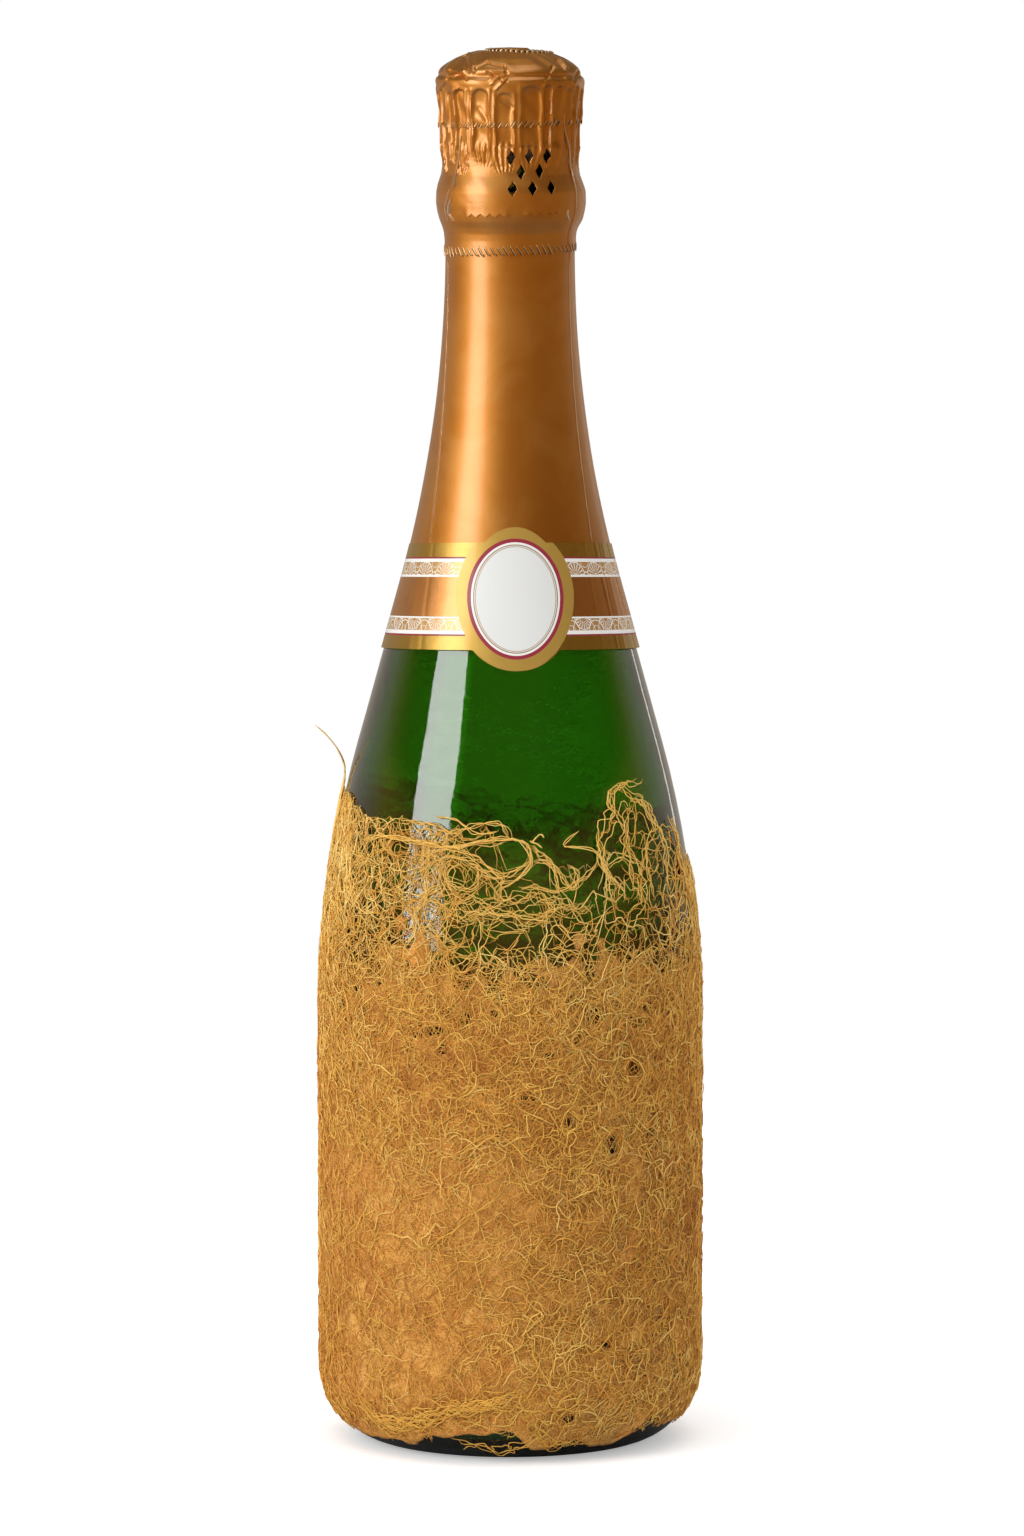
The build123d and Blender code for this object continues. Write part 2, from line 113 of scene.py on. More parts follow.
class Field:
    """A number that varies from point to point: a socket of a node tree that takes arithmetic."""

    def __init__(self, tree, socket):
        self.tree = tree
        self.socket = socket

    def math(self, operation, *others):
        inputs = dict(enumerate((self, *others)))
        node = add_node(self.tree, "ShaderNodeMath", inputs, operation=operation)
        return Field(self.tree, node.outputs[0])

    def rise(self, low, high):
        """0 below low, 1 above high, and a smooth step between them."""
        inputs = {"Value": self, "From Min": low, "From Max": high}
        node = add_node(self.tree, "ShaderNodeMapRange", inputs, interpolation_type="SMOOTHSTEP")
        return Field(self.tree, node.outputs[0])

    def __rsub__(self, other):
        return self.math("MULTIPLY", -1.0) + other

    __add__ = __radd__ = partialmethod(math, "ADD")
    __sub__ = partialmethod(math, "SUBTRACT")
    __mul__ = __rmul__ = partialmethod(math, "MULTIPLY")
    __truediv__ = partialmethod(math, "DIVIDE")
    __gt__ = partialmethod(math, "GREATER_THAN")
    __lt__ = partialmethod(math, "LESS_THAN")


def feed(tree, node, inputs):
    """Gives a node its inputs, by name or place: numbers, colours, fields or sockets."""
    for key, value in inputs.items():
        socket = node.inputs[key]
        if isinstance(value, Field):
            value = value.socket
        if isinstance(value, bpy.types.NodeSocket):
            tree.links.new(value, socket)
        elif socket.type == "RGBA":
            socket.default_value = (*value, 1)
        else:
            socket.default_value = value


def add_node(tree, kind, inputs=None, **settings):
    """Adds a node with its settings and inputs."""
    node = tree.nodes.new(kind)
    for name, value in settings.items():
        setattr(node, name, value)
    feed(tree, node, inputs or {})
    return node


def mixed(tree, share, low, high):
    """A colour between low and high."""
    return add_node(tree, "ShaderNodeMix", {0: share, 6: low, 7: high}, data_type="RGBA").outputs[2]


def split(tree, vector):
    """The three parts of a vector."""
    node = add_node(tree, "ShaderNodeSeparateXYZ", {0: vector})
    return [Field(tree, part) for part in node.outputs]


def ray_kinds(tree):
    """Which rays see straight from the camera or through glass, and which are reflected."""
    rays = add_node(tree, "ShaderNodeLightPath").outputs
    seen = Field(tree, rays["Is Camera Ray"]).math("MAXIMUM", rays["Is Transmission Ray"])
    return seen, Field(tree, rays["Is Glossy Ray"]) * (1 - seen)


def new_object(name, data):
    """A new object in the scene."""
    thing = bpy.data.objects.new(name, data)
    bpy.context.scene.collection.objects.link(thing)
    return thing


def aim(thing, place, target):
    """Puts a lamp or camera at a place, turned to a target."""
    thing.location = place
    thing.rotation_mode = "QUATERNION"
    thing.rotation_quaternion = (place - target).to_track_quat("Z", "Y")


aim_height = (photo_ground_row - photo_height / 2) / photo_pixels_per_metre
aim_side = (photo_width / 2 - photo_axis_column) / photo_pixels_per_metre
camera_place = Vector((aim_side, -camera_distance, camera_height))
camera_aim = Vector((aim_side, 0, aim_height))
camera_reach = (camera_place - camera_aim).length
camera_data = bpy.data.cameras.new("photo_camera")
camera_data.sensor_width = camera_sensor
camera_data.lens = camera_sensor * photo_pixels_per_metre * camera_reach / photo_height
camera = new_object("photo_camera", camera_data)
aim(camera, camera_place, camera_aim)
bpy.context.scene.camera = camera
bpy.context.scene.view_settings.view_transform = "Standard"

for name, azimuth, distance, height, target, width, tall, watts, shine in lamps:
    turn = math.radians(azimuth)
    lamp_place = Vector((math.sin(turn) * distance, -math.cos(turn) * distance, height))
    lamp_data = bpy.data.lights.new(name, "AREA")
    lamp_data.shape = "RECTANGLE"
    lamp_data.size = width
    lamp_data.size_y = tall
    lamp_data.energy = watts
    lamp_data.specular_factor = shine
    aim(new_object(name, lamp_data), lamp_place, Vector((0, 0, target)))

world = bpy.data.worlds.new("white_studio")
bpy.context.scene.world = world
world.use_nodes = True
sky = world.node_tree
sky.nodes.clear()
right, back, up = split(sky, add_node(sky, "ShaderNodeTexCoord").outputs["Generated"])
behind = back.rise(*back_zone)
roof = 1 - up.rise(*roof_zone) * (1 - roof_share)
right_side = 1 - right.rise(*right_zone) * (1 - behind) * (1 - right_share)
seen, glossy = ray_kinds(sky)
level = seen + glossy * roof * right_side + (1 - seen) * (1 - glossy) * fill_level
tone = mixed(sky, glossy, (1, 1, 1), mixed(sky, behind, front_glow, back_glow))
background = add_node(sky, "ShaderNodeBackground", {"Color": tone, "Strength": level})
add_node(sky, "ShaderNodeOutputWorld", {0: background.outputs[0]})


def new_material(name):
    """A material with its tree and its Principled BSDF."""
    material = bpy.data.materials.new(name)
    material.use_nodes = True
    return material, material.node_tree, material.node_tree.nodes["Principled BSDF"]


def look(tree, shader, **inputs):
    """Gives a shader its inputs. Each is named as its socket is, such as base_color or coat_ior."""
    for name, value in inputs.items():
        feed(tree, shader, {name.replace("_", " ").title().replace("Ior", "IOR"): value})


floor_material, tree, shader = new_material("white_floor")
seen, mirrored = ray_kinds(tree)
look(tree, shader, base_color=mixed(tree, mirrored, floor_white, floor_mirrored), roughness=0.6)
look(tree, shader, emission_color=(1, 1, 1), emission_strength=seen * floor_camera_glow)
bpy.ops.mesh.primitive_circle_add(vertices=96, radius=floor_radius, fill_type="NGON", location=(0, 0, 0))
floor = bpy.context.object
floor.name = "white_floor"
floor.data.materials.append(floor_material)

# Glass bottle: dark green bottle glass, blown into a mould in one piece with its punt, its
# reeded standing ring and the finish that the cork and the wire hold on to. It stays the CAD
# node. Its colour is in the depth of the glass, so the thick heel and the rims go nearly black.
glass_tint = (0.30, 0.68, 0.03)
glass_density = 640.0
glass_ripple_scale = 260.0
glass_blotch_scale = 30.0
glass_ripple_depth = 0.00006
glass_roughness = 0.035


def object_place(tree):
    """The place on the object, by which patterns are laid out."""
    return add_node(tree, "ShaderNodeTexCoord").outputs["Object"]


def noise(tree, place, scale, detail, distortion=0.0):
    """Smooth noise of about 0 to 1."""
    inputs = {"Vector": place, "Scale": scale, "Detail": detail, "Distortion": distortion}
    return Field(tree, add_node(tree, "ShaderNodeTexNoise", inputs).outputs[0])


# The grain group: fine grain and broad blotches, used by every finish at its own scale
grain_group = bpy.data.node_groups.new("grain", "ShaderNodeTree")
for in_out, labels in (("INPUT", ("Scale", "Blotch Scale")), ("OUTPUT", ("Grain", "Blotch"))):
    for label in labels:
        grain_group.interface.new_socket(label, in_out=in_out, socket_type="NodeSocketFloat")
entry = add_node(grain_group, "NodeGroupInput").outputs
place = object_place(grain_group)
fine = noise(grain_group, place, entry["Scale"], 3.0)
blotch = noise(grain_group, place, entry["Blotch Scale"], 4.0, 0.6)
add_node(grain_group, "NodeGroupOutput", {"Grain": fine, "Blotch": blotch})


def grain(tree, scale, blotch_scale):
    """The grain group in a material's tree: its grain and its blotch."""
    inputs = {"Scale": scale, "Blotch Scale": blotch_scale}
    outputs = add_node(tree, "ShaderNodeGroup", inputs, node_tree=grain_group).outputs
    return Field(tree, outputs["Grain"]), Field(tree, outputs["Blotch"])


def raise_surface(tree, shader, height, depth):
    """Bumps a shader's normal by a height field of 0 to 1, depth metres deep."""
    bump = add_node(tree, "ShaderNodeBump", {"Height": height, "Distance": depth, "Strength": 1.0})
    look(tree, shader, normal=bump.outputs[0])


def tint_depth(tree, colour, density):
    """Colours a clear material by the depth that is looked through."""
    depth = add_node(tree, "ShaderNodeVolumeAbsorption", {"Color": colour, "Density": density})
    feed(tree, tree.nodes["Material Output"], {"Volume": depth.outputs[0]})


def wear(material, *names):
    """Gives CAD nodes their material."""
    for name in names:
        nodes[name].data.materials.clear()
        nodes[name].data.materials.append(material)


green_glass, tree, shader = new_material("green_glass")
look(tree, shader, base_color=(0.97, 1.0, 0.94), transmission_weight=1.0, ior=1.52)
look(tree, shader, roughness=glass_roughness, coat_weight=1.0, coat_ior=1.62, coat_roughness=0.02)
ripple, blotch = grain(tree, glass_ripple_scale, glass_blotch_scale)
raise_surface(tree, shader, ripple + blotch, glass_ripple_depth)
tint_depth(tree, glass_tint, glass_density)
wear(green_glass, "glass_bottle")

# Wine: pale gold sparkling wine up to its level in the neck. It is made a hair larger than the
# CAD solid, so that it wets the glass and no film of air shines between them.
wine_overlap = 0.00022
wine_tint = (0.97, 0.9, 0.55)
wine_density = 6.0
weld_distance = 0.000002


def weld(mesh, outwards=False):
    """Merges a mesh's doubles, and turns its faces outwards if asked."""
    work = bmesh.new()
    work.from_mesh(mesh)
    bmesh.ops.remove_doubles(work, verts=work.verts, dist=weld_distance)
    if outwards:
        bmesh.ops.recalc_face_normals(work, faces=work.faces)
    work.to_mesh(mesh)
    work.free()


def finish_piece(piece, material, body, slot, *replaced):
    """Gives a new piece its material and body, and hides the CAD nodes that it stands for; its slot is not
    used.
    """
    if material is not None:
        piece.data.materials.clear()
        piece.data.materials.append(material)
    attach(piece, body)
    if replaced:
        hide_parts(*replaced)


wine_material, tree, shader = new_material("sparkling_wine")
look(tree, shader, base_color=(1, 0.99, 0.95), transmission_weight=1.0, roughness=0.0, ior=1.34)
tint_depth(tree, wine_tint, wine_density)
wine_mesh = nodes["wine"].data.copy()
wine_mesh.name = "wine_fill"
weld(wine_mesh, outwards=True)
normals = np.array([vertex.normal for vertex in wine_mesh.vertices])
places = np.array([vertex.co for vertex in wine_mesh.vertices])
wine_mesh.vertices.foreach_set("co", (places + normals * wine_overlap).ravel())
wine_mesh.update()
for face in wine_mesh.polygons:
    face.use_smooth = True
finish_piece(new_object("wine_fill", wine_mesh), wine_material, "bottle", "wine", "wine")

# Cork: a body of bonded cork granules with a mushroom head, and two sliced discs of natural
# cork glued under it. Only the lifted hood and the drawn cork show them.
cork_granule_scale = 620.0
cork_pore_scale = 900.0
dark_granules = 0.93
pore_share = 0.36

agglomerated_cork, tree, shader = new_material("agglomerated_cork")
fine, blotch = grain(tree, 3000.0, 300.0)
cells = add_node(tree, "ShaderNodeTexVoronoi", {"Vector": object_place(tree), "Scale": cork_granule_scale})
granule = add_node(tree, "ShaderNodeSeparateColor", {0: cells.outputs["Color"]})
granule = Field(tree, granule.outputs[0])
cork_colour = mixed(tree, granule * 0.6 + fine * 0.5, (0.25, 0.12, 0.045), (0.68, 0.44, 0.22))
cork_colour = mixed(tree, granule > dark_granules, cork_colour, (0.07, 0.03, 0.012))
look(tree, shader, base_color=cork_colour, roughness=0.8)
raise_surface(tree, shader, granule + fine, 0.0001)
wear(agglomerated_cork, "cork_body")

natural_cork, tree, shader = new_material("natural_cork")
fine, blotch = grain(tree, 2200.0, cork_pore_scale)
pore = blotch < pore_share
cork_colour = mixed(tree, fine, (0.44, 0.24, 0.10), (0.76, 0.52, 0.29))
cork_colour = mixed(tree, pore, cork_colour, (0.12, 0.05, 0.02))
look(tree, shader, base_color=cork_colour, roughness=0.75)
raise_surface(tree, shader, fine - pore, 0.00012)
wear(natural_cork, "cork_disc_upper", "cork_disc_lower")

# Cap plate: a round disc pressed from thin tin plate. It is laid on the cork's head, under the
# crown wire, so that the wire doesn't cut into the cork.
tin_plate, tree, shader = new_material("tin_plate")
fine, blotch = grain(tree, 1500.0, 120.0)
look(tree, shader, base_color=(0.72, 0.68, 0.60), metallic=1.0, roughness=blotch * 0.25 + 0.16)
raise_surface(tree, shader, fine, 0.00001)
wear(tin_plate, "muselet_plaque")

# Wire cage, belt and loop: bright galvanised steel wire, twisted in pairs down the four legs.
# The belt runs through the legs' eyes, and the loop hooks over it and swings.
galvanised_wire, tree, shader = new_material("galvanised_wire")
fine, blotch = grain(tree, 2500.0, 400.0)
wire_colour = mixed(tree, blotch, (0.42, 0.43, 0.45), (0.70, 0.71, 0.73))
look(tree, shader, base_color=wire_colour, metallic=1.0, roughness=blotch * 0.3 + 0.18)
raise_surface(tree, shader, fine, 0.00001)
wear(galvanised_wire, "muselet_cage", "muselet_belt", "muselet_loop")

# Foil skirt: the smooth lower part of the lacquered foil, rolled down on to the neck. Its two
# overlapped edges run down the sides, each with a thin bare edge of the metal showing.
millimetre = 0.001
foil_wall = 0.22 * millimetre
foil_stand_off = 0.33
foil_columns = 400
foil_base = (0.66, 0.27, 0.04)
foil_pale = (0.74, 0.35, 0.08)
foil_roughness = 0.45
# The marks' raised lips: paler foil, the bare metal at the cut with a painted highlight over it
lip_highlight_dark = (0.88, 0.58, 0.27)
lip_highlight_pale = (0.95, 0.72, 0.42)
lip_highlight_roughness = 0.35
peel_scale = 1500.0
peel_depth = 0.000022
skirt_columns = 240
skirt_rows = 70
skirt_bottom = 190.0
skirt_top = 279.4
skirt_dent = 0.035
seam_step = 0.13
skirt_seams = (
    # name, azimuth and height at the top, azimuth and height at the foot
    ("left", -75.0, 277.0, -54.0, 212.0),
    ("right", 67.0, 277.0, 56.0, 212.0),
)
seam_edge_width = 0.32
seam_edge_height = 0.1
ribbon_steps = 40
ribbon_profile = ((-1, -1), (-0.7, 1), (0.7, 1), (1, -1))
crisp_angle = math.radians(40.0)

# The glass's outside, from the foot up: heel, barrel, a bend and a straight slope, and the neck
heel_radius = 30.0
heel_height = 18.0
barrel_radius = 44.0
barrel_top = 103.0
shoulder_bend = 229.53
shoulder_slope = math.radians(15.51)
slope_length = 38.9
neck_bend = 292.13
neck_radius = 14.6
neck_foot = 280.0


def glass_radius(height):
    """The glass's outside radius at a height, in millimetres."""
    heights = np.asarray(height, float)
    slope_start = barrel_top + shoulder_bend * math.sin(shoulder_slope)
    slope_end = slope_start + slope_length * math.cos(shoulder_slope)
    slope_radius = barrel_radius - shoulder_bend * (1 - math.cos(shoulder_slope))
    heel_share = np.clip(1 - ((heel_height - heights) / heel_height) ** 2, 0, 1)
    heel = heel_radius + (barrel_radius - heel_radius) * np.sqrt(heel_share)
    bend = np.sqrt(np.clip(shoulder_bend**2 - (heights - barrel_top) ** 2, 0, None))
    slope = slope_radius - (heights - slope_start) * math.tan(shoulder_slope)
    neck = np.sqrt(np.clip(neck_bend**2 - (neck_foot - heights) ** 2, 0, None))
    radius = np.where(heights < heel_height, heel, barrel_radius)
    radius = np.where(heights > barrel_top, barrel_radius - shoulder_bend + bend, radius)
    radius = np.where(heights > slope_start, slope, radius)
    radius = np.where(heights > slope_end, neck_radius + neck_bend - neck, radius)
    return np.where(heights > neck_foot, neck_radius, radius)


def rounded_outline(corners, count, rounding):
    """Evenly spaced points along a profile of (radius, height) corners, with its bends rounded."""
    corners = np.array(corners, float)
    runs = np.linalg.norm(np.diff(corners, axis=0), axis=1)
    lengths = np.concatenate(([0], np.cumsum(runs)))
    along = np.linspace(0, lengths[-1], count)
    outline = np.stack([np.interp(along, lengths, corners[:, axis]) for axis in (0, 1)], 1)
    step = lengths[-1] / (count - 1)
    reach = max(1, int(4 * rounding / step))
    weights = np.exp(-0.5 * (np.arange(-reach, reach + 1) * step / rounding) ** 2)
    weights = weights / weights.sum()
    ends = np.pad(outline, ((reach, reach), (0, 0)), mode="reflect", reflect_type="odd")
    return np.stack([np.convolve(ends[:, axis], weights, "valid") for axis in (0, 1)], 1)


def steps(value, low, high):
    """0 below low, 1 above high, and a smooth step between them."""
    share = np.clip((value - low) / (high - low), 0, 1)
    return share * share * (3 - 2 * share)


def around_axis(azimuth, radius, height):
    """Points in metres from azimuths in degrees and radii and heights in millimetres."""
    turn = np.radians(azimuth)
    return np.stack((radius * np.sin(turn), -radius * np.cos(turn), height), -1) * millimetre


def revolved_grid(outline, columns):
    """Azimuth, radius and height at each point of a grid round the axis, as three arrays."""
    azimuth = np.linspace(-180, 180, columns, endpoint=False)
    azimuth, radius = np.meshgrid(azimuth, outline[:, 0])
    height = np.repeat(outline[:, 1:], columns, 1)
    return azimuth, radius, height


def grid_normals(places):
    """Unit normals of a grid of points that closes round the axis."""
    across = np.roll(places, -1, 1) - np.roll(places, 1, 1)
    normals = np.cross(across, np.gradient(places, axis=0))
    sizes = np.linalg.norm(normals, axis=-1, keepdims=True)
    pole = sizes < sizes.max() * 0.000001
    return np.where(pole, np.array((0, 0, 1.0)), normals / np.maximum(sizes, 1e-30))


def piece_from(name, points, faces, welded=False):
    """A new mesh object with smooth faces and edges that are crisp where they bend sharply."""
    mesh = bpy.data.meshes.new(name)
    mesh.from_pydata([tuple(point) for point in points], [], faces)
    if welded:
        weld(mesh)
    mesh.shade_smooth()
    mesh.set_sharp_from_angle(angle=crisp_angle)
    return new_object(name, mesh)


def skin_from(name, places, wall, closed_top=False):
    """A closed skin round the axis, from the grid of its outer points, wall metres thick."""
    rows, columns, _ = places.shape
    inner = places - grid_normals(places) * wall
    points = np.concatenate((places.reshape(-1, 3), inner.reshape(-1, 3)))
    inside = rows * columns
    row, first = np.meshgrid(np.arange(rows - 1) * columns, np.arange(columns), indexing="ij")
    second = (first + 1) % columns
    outer_faces = np.stack(
        (row + first, row + second, row + second + columns, row + first + columns), -1
    ).reshape(-1, 4)
    first, second = first[0], second[0]
    foot = np.stack((second, first, first + inside, second + inside), -1)
    faces = [outer_faces, outer_faces[:, ::-1] + inside, foot]
    if not closed_top:
        faces.append(foot[:, [1, 0, 3, 2]] + (rows - 1) * columns)
    return piece_from(name, points, np.concatenate(faces).tolist(), closed_top)


def ribbon(name, centre_line, width, height):
    """A thin raised strip on a surface, along (azimuth, radius, height) points in mm."""
    centre_line = np.array(centre_line)
    line = rounded_outline(centre_line[:, 1:], ribbon_steps, 0.4)
    shares = np.linspace(0, 1, ribbon_steps)
    azimuth = np.interp(shares, np.linspace(0, 1, len(centre_line)), centre_line[:, 0])
    taper = np.sin(np.linspace(0.12, math.pi - 0.12, ribbon_steps)) ** 0.3
    half = width / 2 / line[:, 0] * 180 / math.pi * taper
    rings = [
        around_axis(azimuth + half * side, line[:, 0] + lift * height, line[:, 1])
        for side, lift in ribbon_profile
    ]
    points = np.stack(rings, 1).reshape(-1, 3)
    faces = []
    for start in range(0, len(points) - 4, 4):
        for side in range(4):
            beside = (side + 1) % 4
            faces.append((start + side, start + beside, start + 4 + beside, start + 4 + side))
    faces.append((3, 2, 1, 0))
    faces.append(tuple(range(len(points) - 4, len(points))))
    return piece_from(name, points, faces)


def make_foil_material(name, dark, pale, roughness, peel, wrinkle):
    """Lacquered foil: metal under a clear coat, with orange peel and broad soft blotches."""
    material, tree, shader = new_material(name)
    fine, blotch = grain(tree, peel_scale, 70.0)
    look(tree, shader, base_color=mixed(tree, blotch.rise(0.35, 0.7), dark, pale), metallic=1.0)
    look(tree, shader, roughness=blotch * 0.12 + roughness)
    look(tree, shader, coat_weight=0.7, coat_roughness=0.25, coat_ior=1.7)
    raise_surface(tree, shader, fine * peel + blotch * wrinkle, peel_depth)
    return material


copper_foil = make_foil_material("copper_foil", foil_base, foil_pale, foil_roughness, 1.0, 2.0)
# Paler foil for the marks' lips, partly bare metal and partly a painted highlight
foil_crease = make_foil_material("foil_crease", lip_highlight_dark, lip_highlight_pale, lip_highlight_roughness, 0.0, 0.0)
bare_foil, tree, shader = new_material("bare_foil_edge")
look(tree, shader, base_color=(0.90, 0.88, 0.86), metallic=1.0, roughness=0.3)

skirt_heights = np.linspace(skirt_bottom, skirt_top, skirt_rows)
skirt_shape = np.stack((glass_radius(skirt_heights) + foil_stand_off, skirt_heights), 1)
azimuth, radius, height = revolved_grid(skirt_shape, skirt_columns)
left_seam, right_seam = [
    top + (foot - top) * (height - top_height) / (foot_height - top_height)
    for _, top, top_height, foot, foot_height in skirt_seams
]
radius += seam_step * (1 - steps(azimuth, left_seam, left_seam + 0.5)) * steps(azimuth, -150, -110)
radius += seam_step * steps(azimuth, right_seam - 0.5, right_seam) * (1 - steps(azimuth, 110, 150))
radius += skirt_dent * np.sin(np.radians(azimuth * 3 + height * 4)) * np.sin(height * 0.13)
foil_skirt = skin_from("foil_skirt_skin", around_axis(azimuth, radius, height), foil_wall)
finish_piece(foil_skirt, copper_foil, "bottle", "copper_foil", "foil_skirt")
for side, *ends in skirt_seams:
    line = []
    for share in np.linspace(0, 1, 12):
        seam_height = ends[1] + (ends[3] - ends[1]) * share
        seam_radius = float(glass_radius(seam_height)) + foil_stand_off + seam_step / 2
        line.append((ends[0] + (ends[2] - ends[0]) * share, seam_radius, seam_height))
    edge = ribbon(f"foil_skirt_edge_{side}", line, seam_edge_width, seam_edge_height)
    finish_piece(edge, bare_foil, "bottle", "copper_foil")

# Foil top: the tear band over the glass ring, and the hood over the cork and its wire cage.
# The foil was gathered in arched flutes round the crown and pressed over it, which crumpled its
# left side. The flutes break into small folds below the upper perforation, by the vent holes.
hood_outline = (
    (16.42, 308.3), (16.55, 312.0), (16.9, 315.7), (17.3, 318.2), (17.2, 319.0), (16.35, 319.75),
    (16.5, 320.5), (16.0, 321.4), (14.8, 322.4), (12.6, 323.7), (9.7, 324.9), (7.6, 325.45),
    (4.7, 325.65), (4.2, 326.1), (0.0, 326.25),
)
hood_rows = 120
hood_fade = (4.5, 13.0)
band_outline = (
    (15.24, 278.95), (15.22, 282.0), (15.4, 283.5), (15.8, 284.8), (16.4, 286.3), (16.8, 287.8),
    (17.15, 290.0), (17.2, 291.1), (17.2, 293.0), (16.8, 294.6), (16.0, 297.0), (15.75, 298.8),
    (15.85, 301.0), (16.0, 303.0), (16.15, 308.1), (16.05, 309.1),
)
band_rows = 116
outline_rounding = 0.2
perforation_tilt = 0.45
flutes = (
    # azimuth, width in degrees, height of its arch and depth in mm
    (-165, 13, 317.2, 0.45), (-148, 12, 316.6, 0.50), (-131, 13, 317.5, 0.42), (-114, 12, 316.8, 0.50),
    (-97, 12, 317.3, 0.45), (-82, 10, 316.5, 0.45), (-69.5, 8, 317.0, 0.40), (-56.5, 9, 316.2, 0.45),
    (-43.5, 11.5, 317.0, 0.62), (-24.5, 14.5, 317.1, 0.52), (-4.7, 14.5, 316.2, 0.50),
    (17.3, 16.5, 317.9, 0.46), (31.4, 7.0, 318.0, 0.55), (42.0, 10.5, 317.8, 0.62),
    (53.0, 6.5, 317.0, 0.35), (62.0, 7.0, 317.8, 0.55), (75.0, 11, 317.0, 0.45),
    (92.0, 13, 316.6, 0.50), (110.0, 14, 317.5, 0.42), (128.0, 13, 316.9, 0.50),
    (145.0, 12, 317.4, 0.45), (161.0, 12, 316.7, 0.50), (177.0, 11, 317.2, 0.45),
)
flute_radius = 16.6
flute_break = 304.5
fold_foot = 296.6
ridge_rise = 0.2
ridge_width = 0.42
pleat_depth = 0.30
fold_lines = (
    # start side and height, end side and height, width, depth, all in mm on the front
    (-10.9, 325.0, -9.4, 321.0, 0.7, -0.65), (-9.6, 325.2, -8.6, 322.2, 0.5, 0.30),
    (-13.9, 321.0, -10.0, 319.2, 0.50, -0.60), (-14.4, 319.6, -10.4, 321.0, 0.40, 0.40),
    (-8.4, 320.4, -8.0, 321.9, 0.45, -0.35), (-8.0, 321.9, -5.2, 323.0, 0.45, -0.40),
    (-5.2, 323.0, -1.2, 322.2, 0.45, -0.40), (-1.2, 322.2, -0.7, 320.6, 0.45, -0.40),
    (-7.4, 321.0, -1.6, 321.0, 0.9, 0.35), (-5.2, 320.6, -0.8, 318.7, 0.40, -0.45),
    (-4.6, 319.2, -1.0, 320.2, 0.35, 0.35), (-3.4, 316.8, -0.7, 319.6, 0.45, 0.40),
    (-2.6, 319.8, -4.4, 318.0, 0.35, 0.30), (8.4, 319.0, 9.8, 321.8, 0.45, -0.40),
    (11.4, 323.6, 13.2, 321.6, 0.40, 0.45), (10.9, 323.4, 12.6, 321.2, 0.35, -0.45),
    (14.6, 318.6, 15.6, 320.8, 0.40, -0.40), (7.9, 317.6, 8.6, 319.5, 0.40, 0.30),
    (-15.9, 317.0, -14.2, 319.6, 0.40, 0.40), (-1.9, 303.6, 0.8, 303.8, 0.40, -0.30),
    (2.4, 303.7, 6.0, 303.7, 0.40, -0.30), (-2.0, 314.2, 0.6, 312.6, 0.7, -0.25),
    (-7.4, 312.4, -5.2, 309.6, 0.8, -0.22),
)
foil_seam = (
    # azimuth and height of the line where the foil overlaps itself
    (49.0, 311.4), (52.8, 307.7), (56.8, 303.4), (61.0, 299.1), (62.0, 293.7), (62.0, 289.4),
)
foil_seam_step = 0.16
silver_folds = (
    # azimuth and height along each bent-over edge of bare metal, then its width in mm
    (((-53.8, 297.1), (-53.2, 293.3), (-57.1, 290.6), (-62.2, 288.2), (-60.6, 286.3)), 0.45),
    (((-51.7, 291.5), (-56.1, 289.6), (-57.7, 288.0), (-52.3, 286.3)), 0.8),
    (((51.5, 289.0), (52.3, 288.2), (55.9, 286.4)), 0.7),
    (foil_seam, 0.3),
    (((-46.0, 306.0), (-47.5, 300.6), (-50.5, 297.4), (-49.0, 294.0)), 0.35),
)
silver_fold_rise = 0.16
vent_width = 2.1
vent_height = 3.6
vent_cut = (20.0, 12.0)
vents = (
    # azimuth in degrees, height
    (0.9, 301.1), (16.4, 301.5), (32.4, 301.5), (9.2, 297.8), (25.5, 298.0), (2.0, 294.0),
    (18.1, 294.1), (34.5, 294.2),
)
loop_room = 0.35
loop_azimuth = 90.0
loop_spread = 13.0
crumple_waves = (
    # size in mm, turns round the neck, rise and start
    (0.10, 3, 0.35, 0.4), (0.07, 7, -0.5, 2.1), (0.075, 16, 0.95, 3.3), (0.05, 13, 0.8, 4.0),
    (0.035, 23, 1.3, 5.2),
)
pinked_teeth = 46
pinked_foot = 288.0
pinked_tooth = 0.85
pinked_tall = 2.6
pinked_rows = 8
pinked_wall = 0.12 * millimetre
pinked_windows = ((-38, -1), (12, 42), (98, 150), (-150, -98))


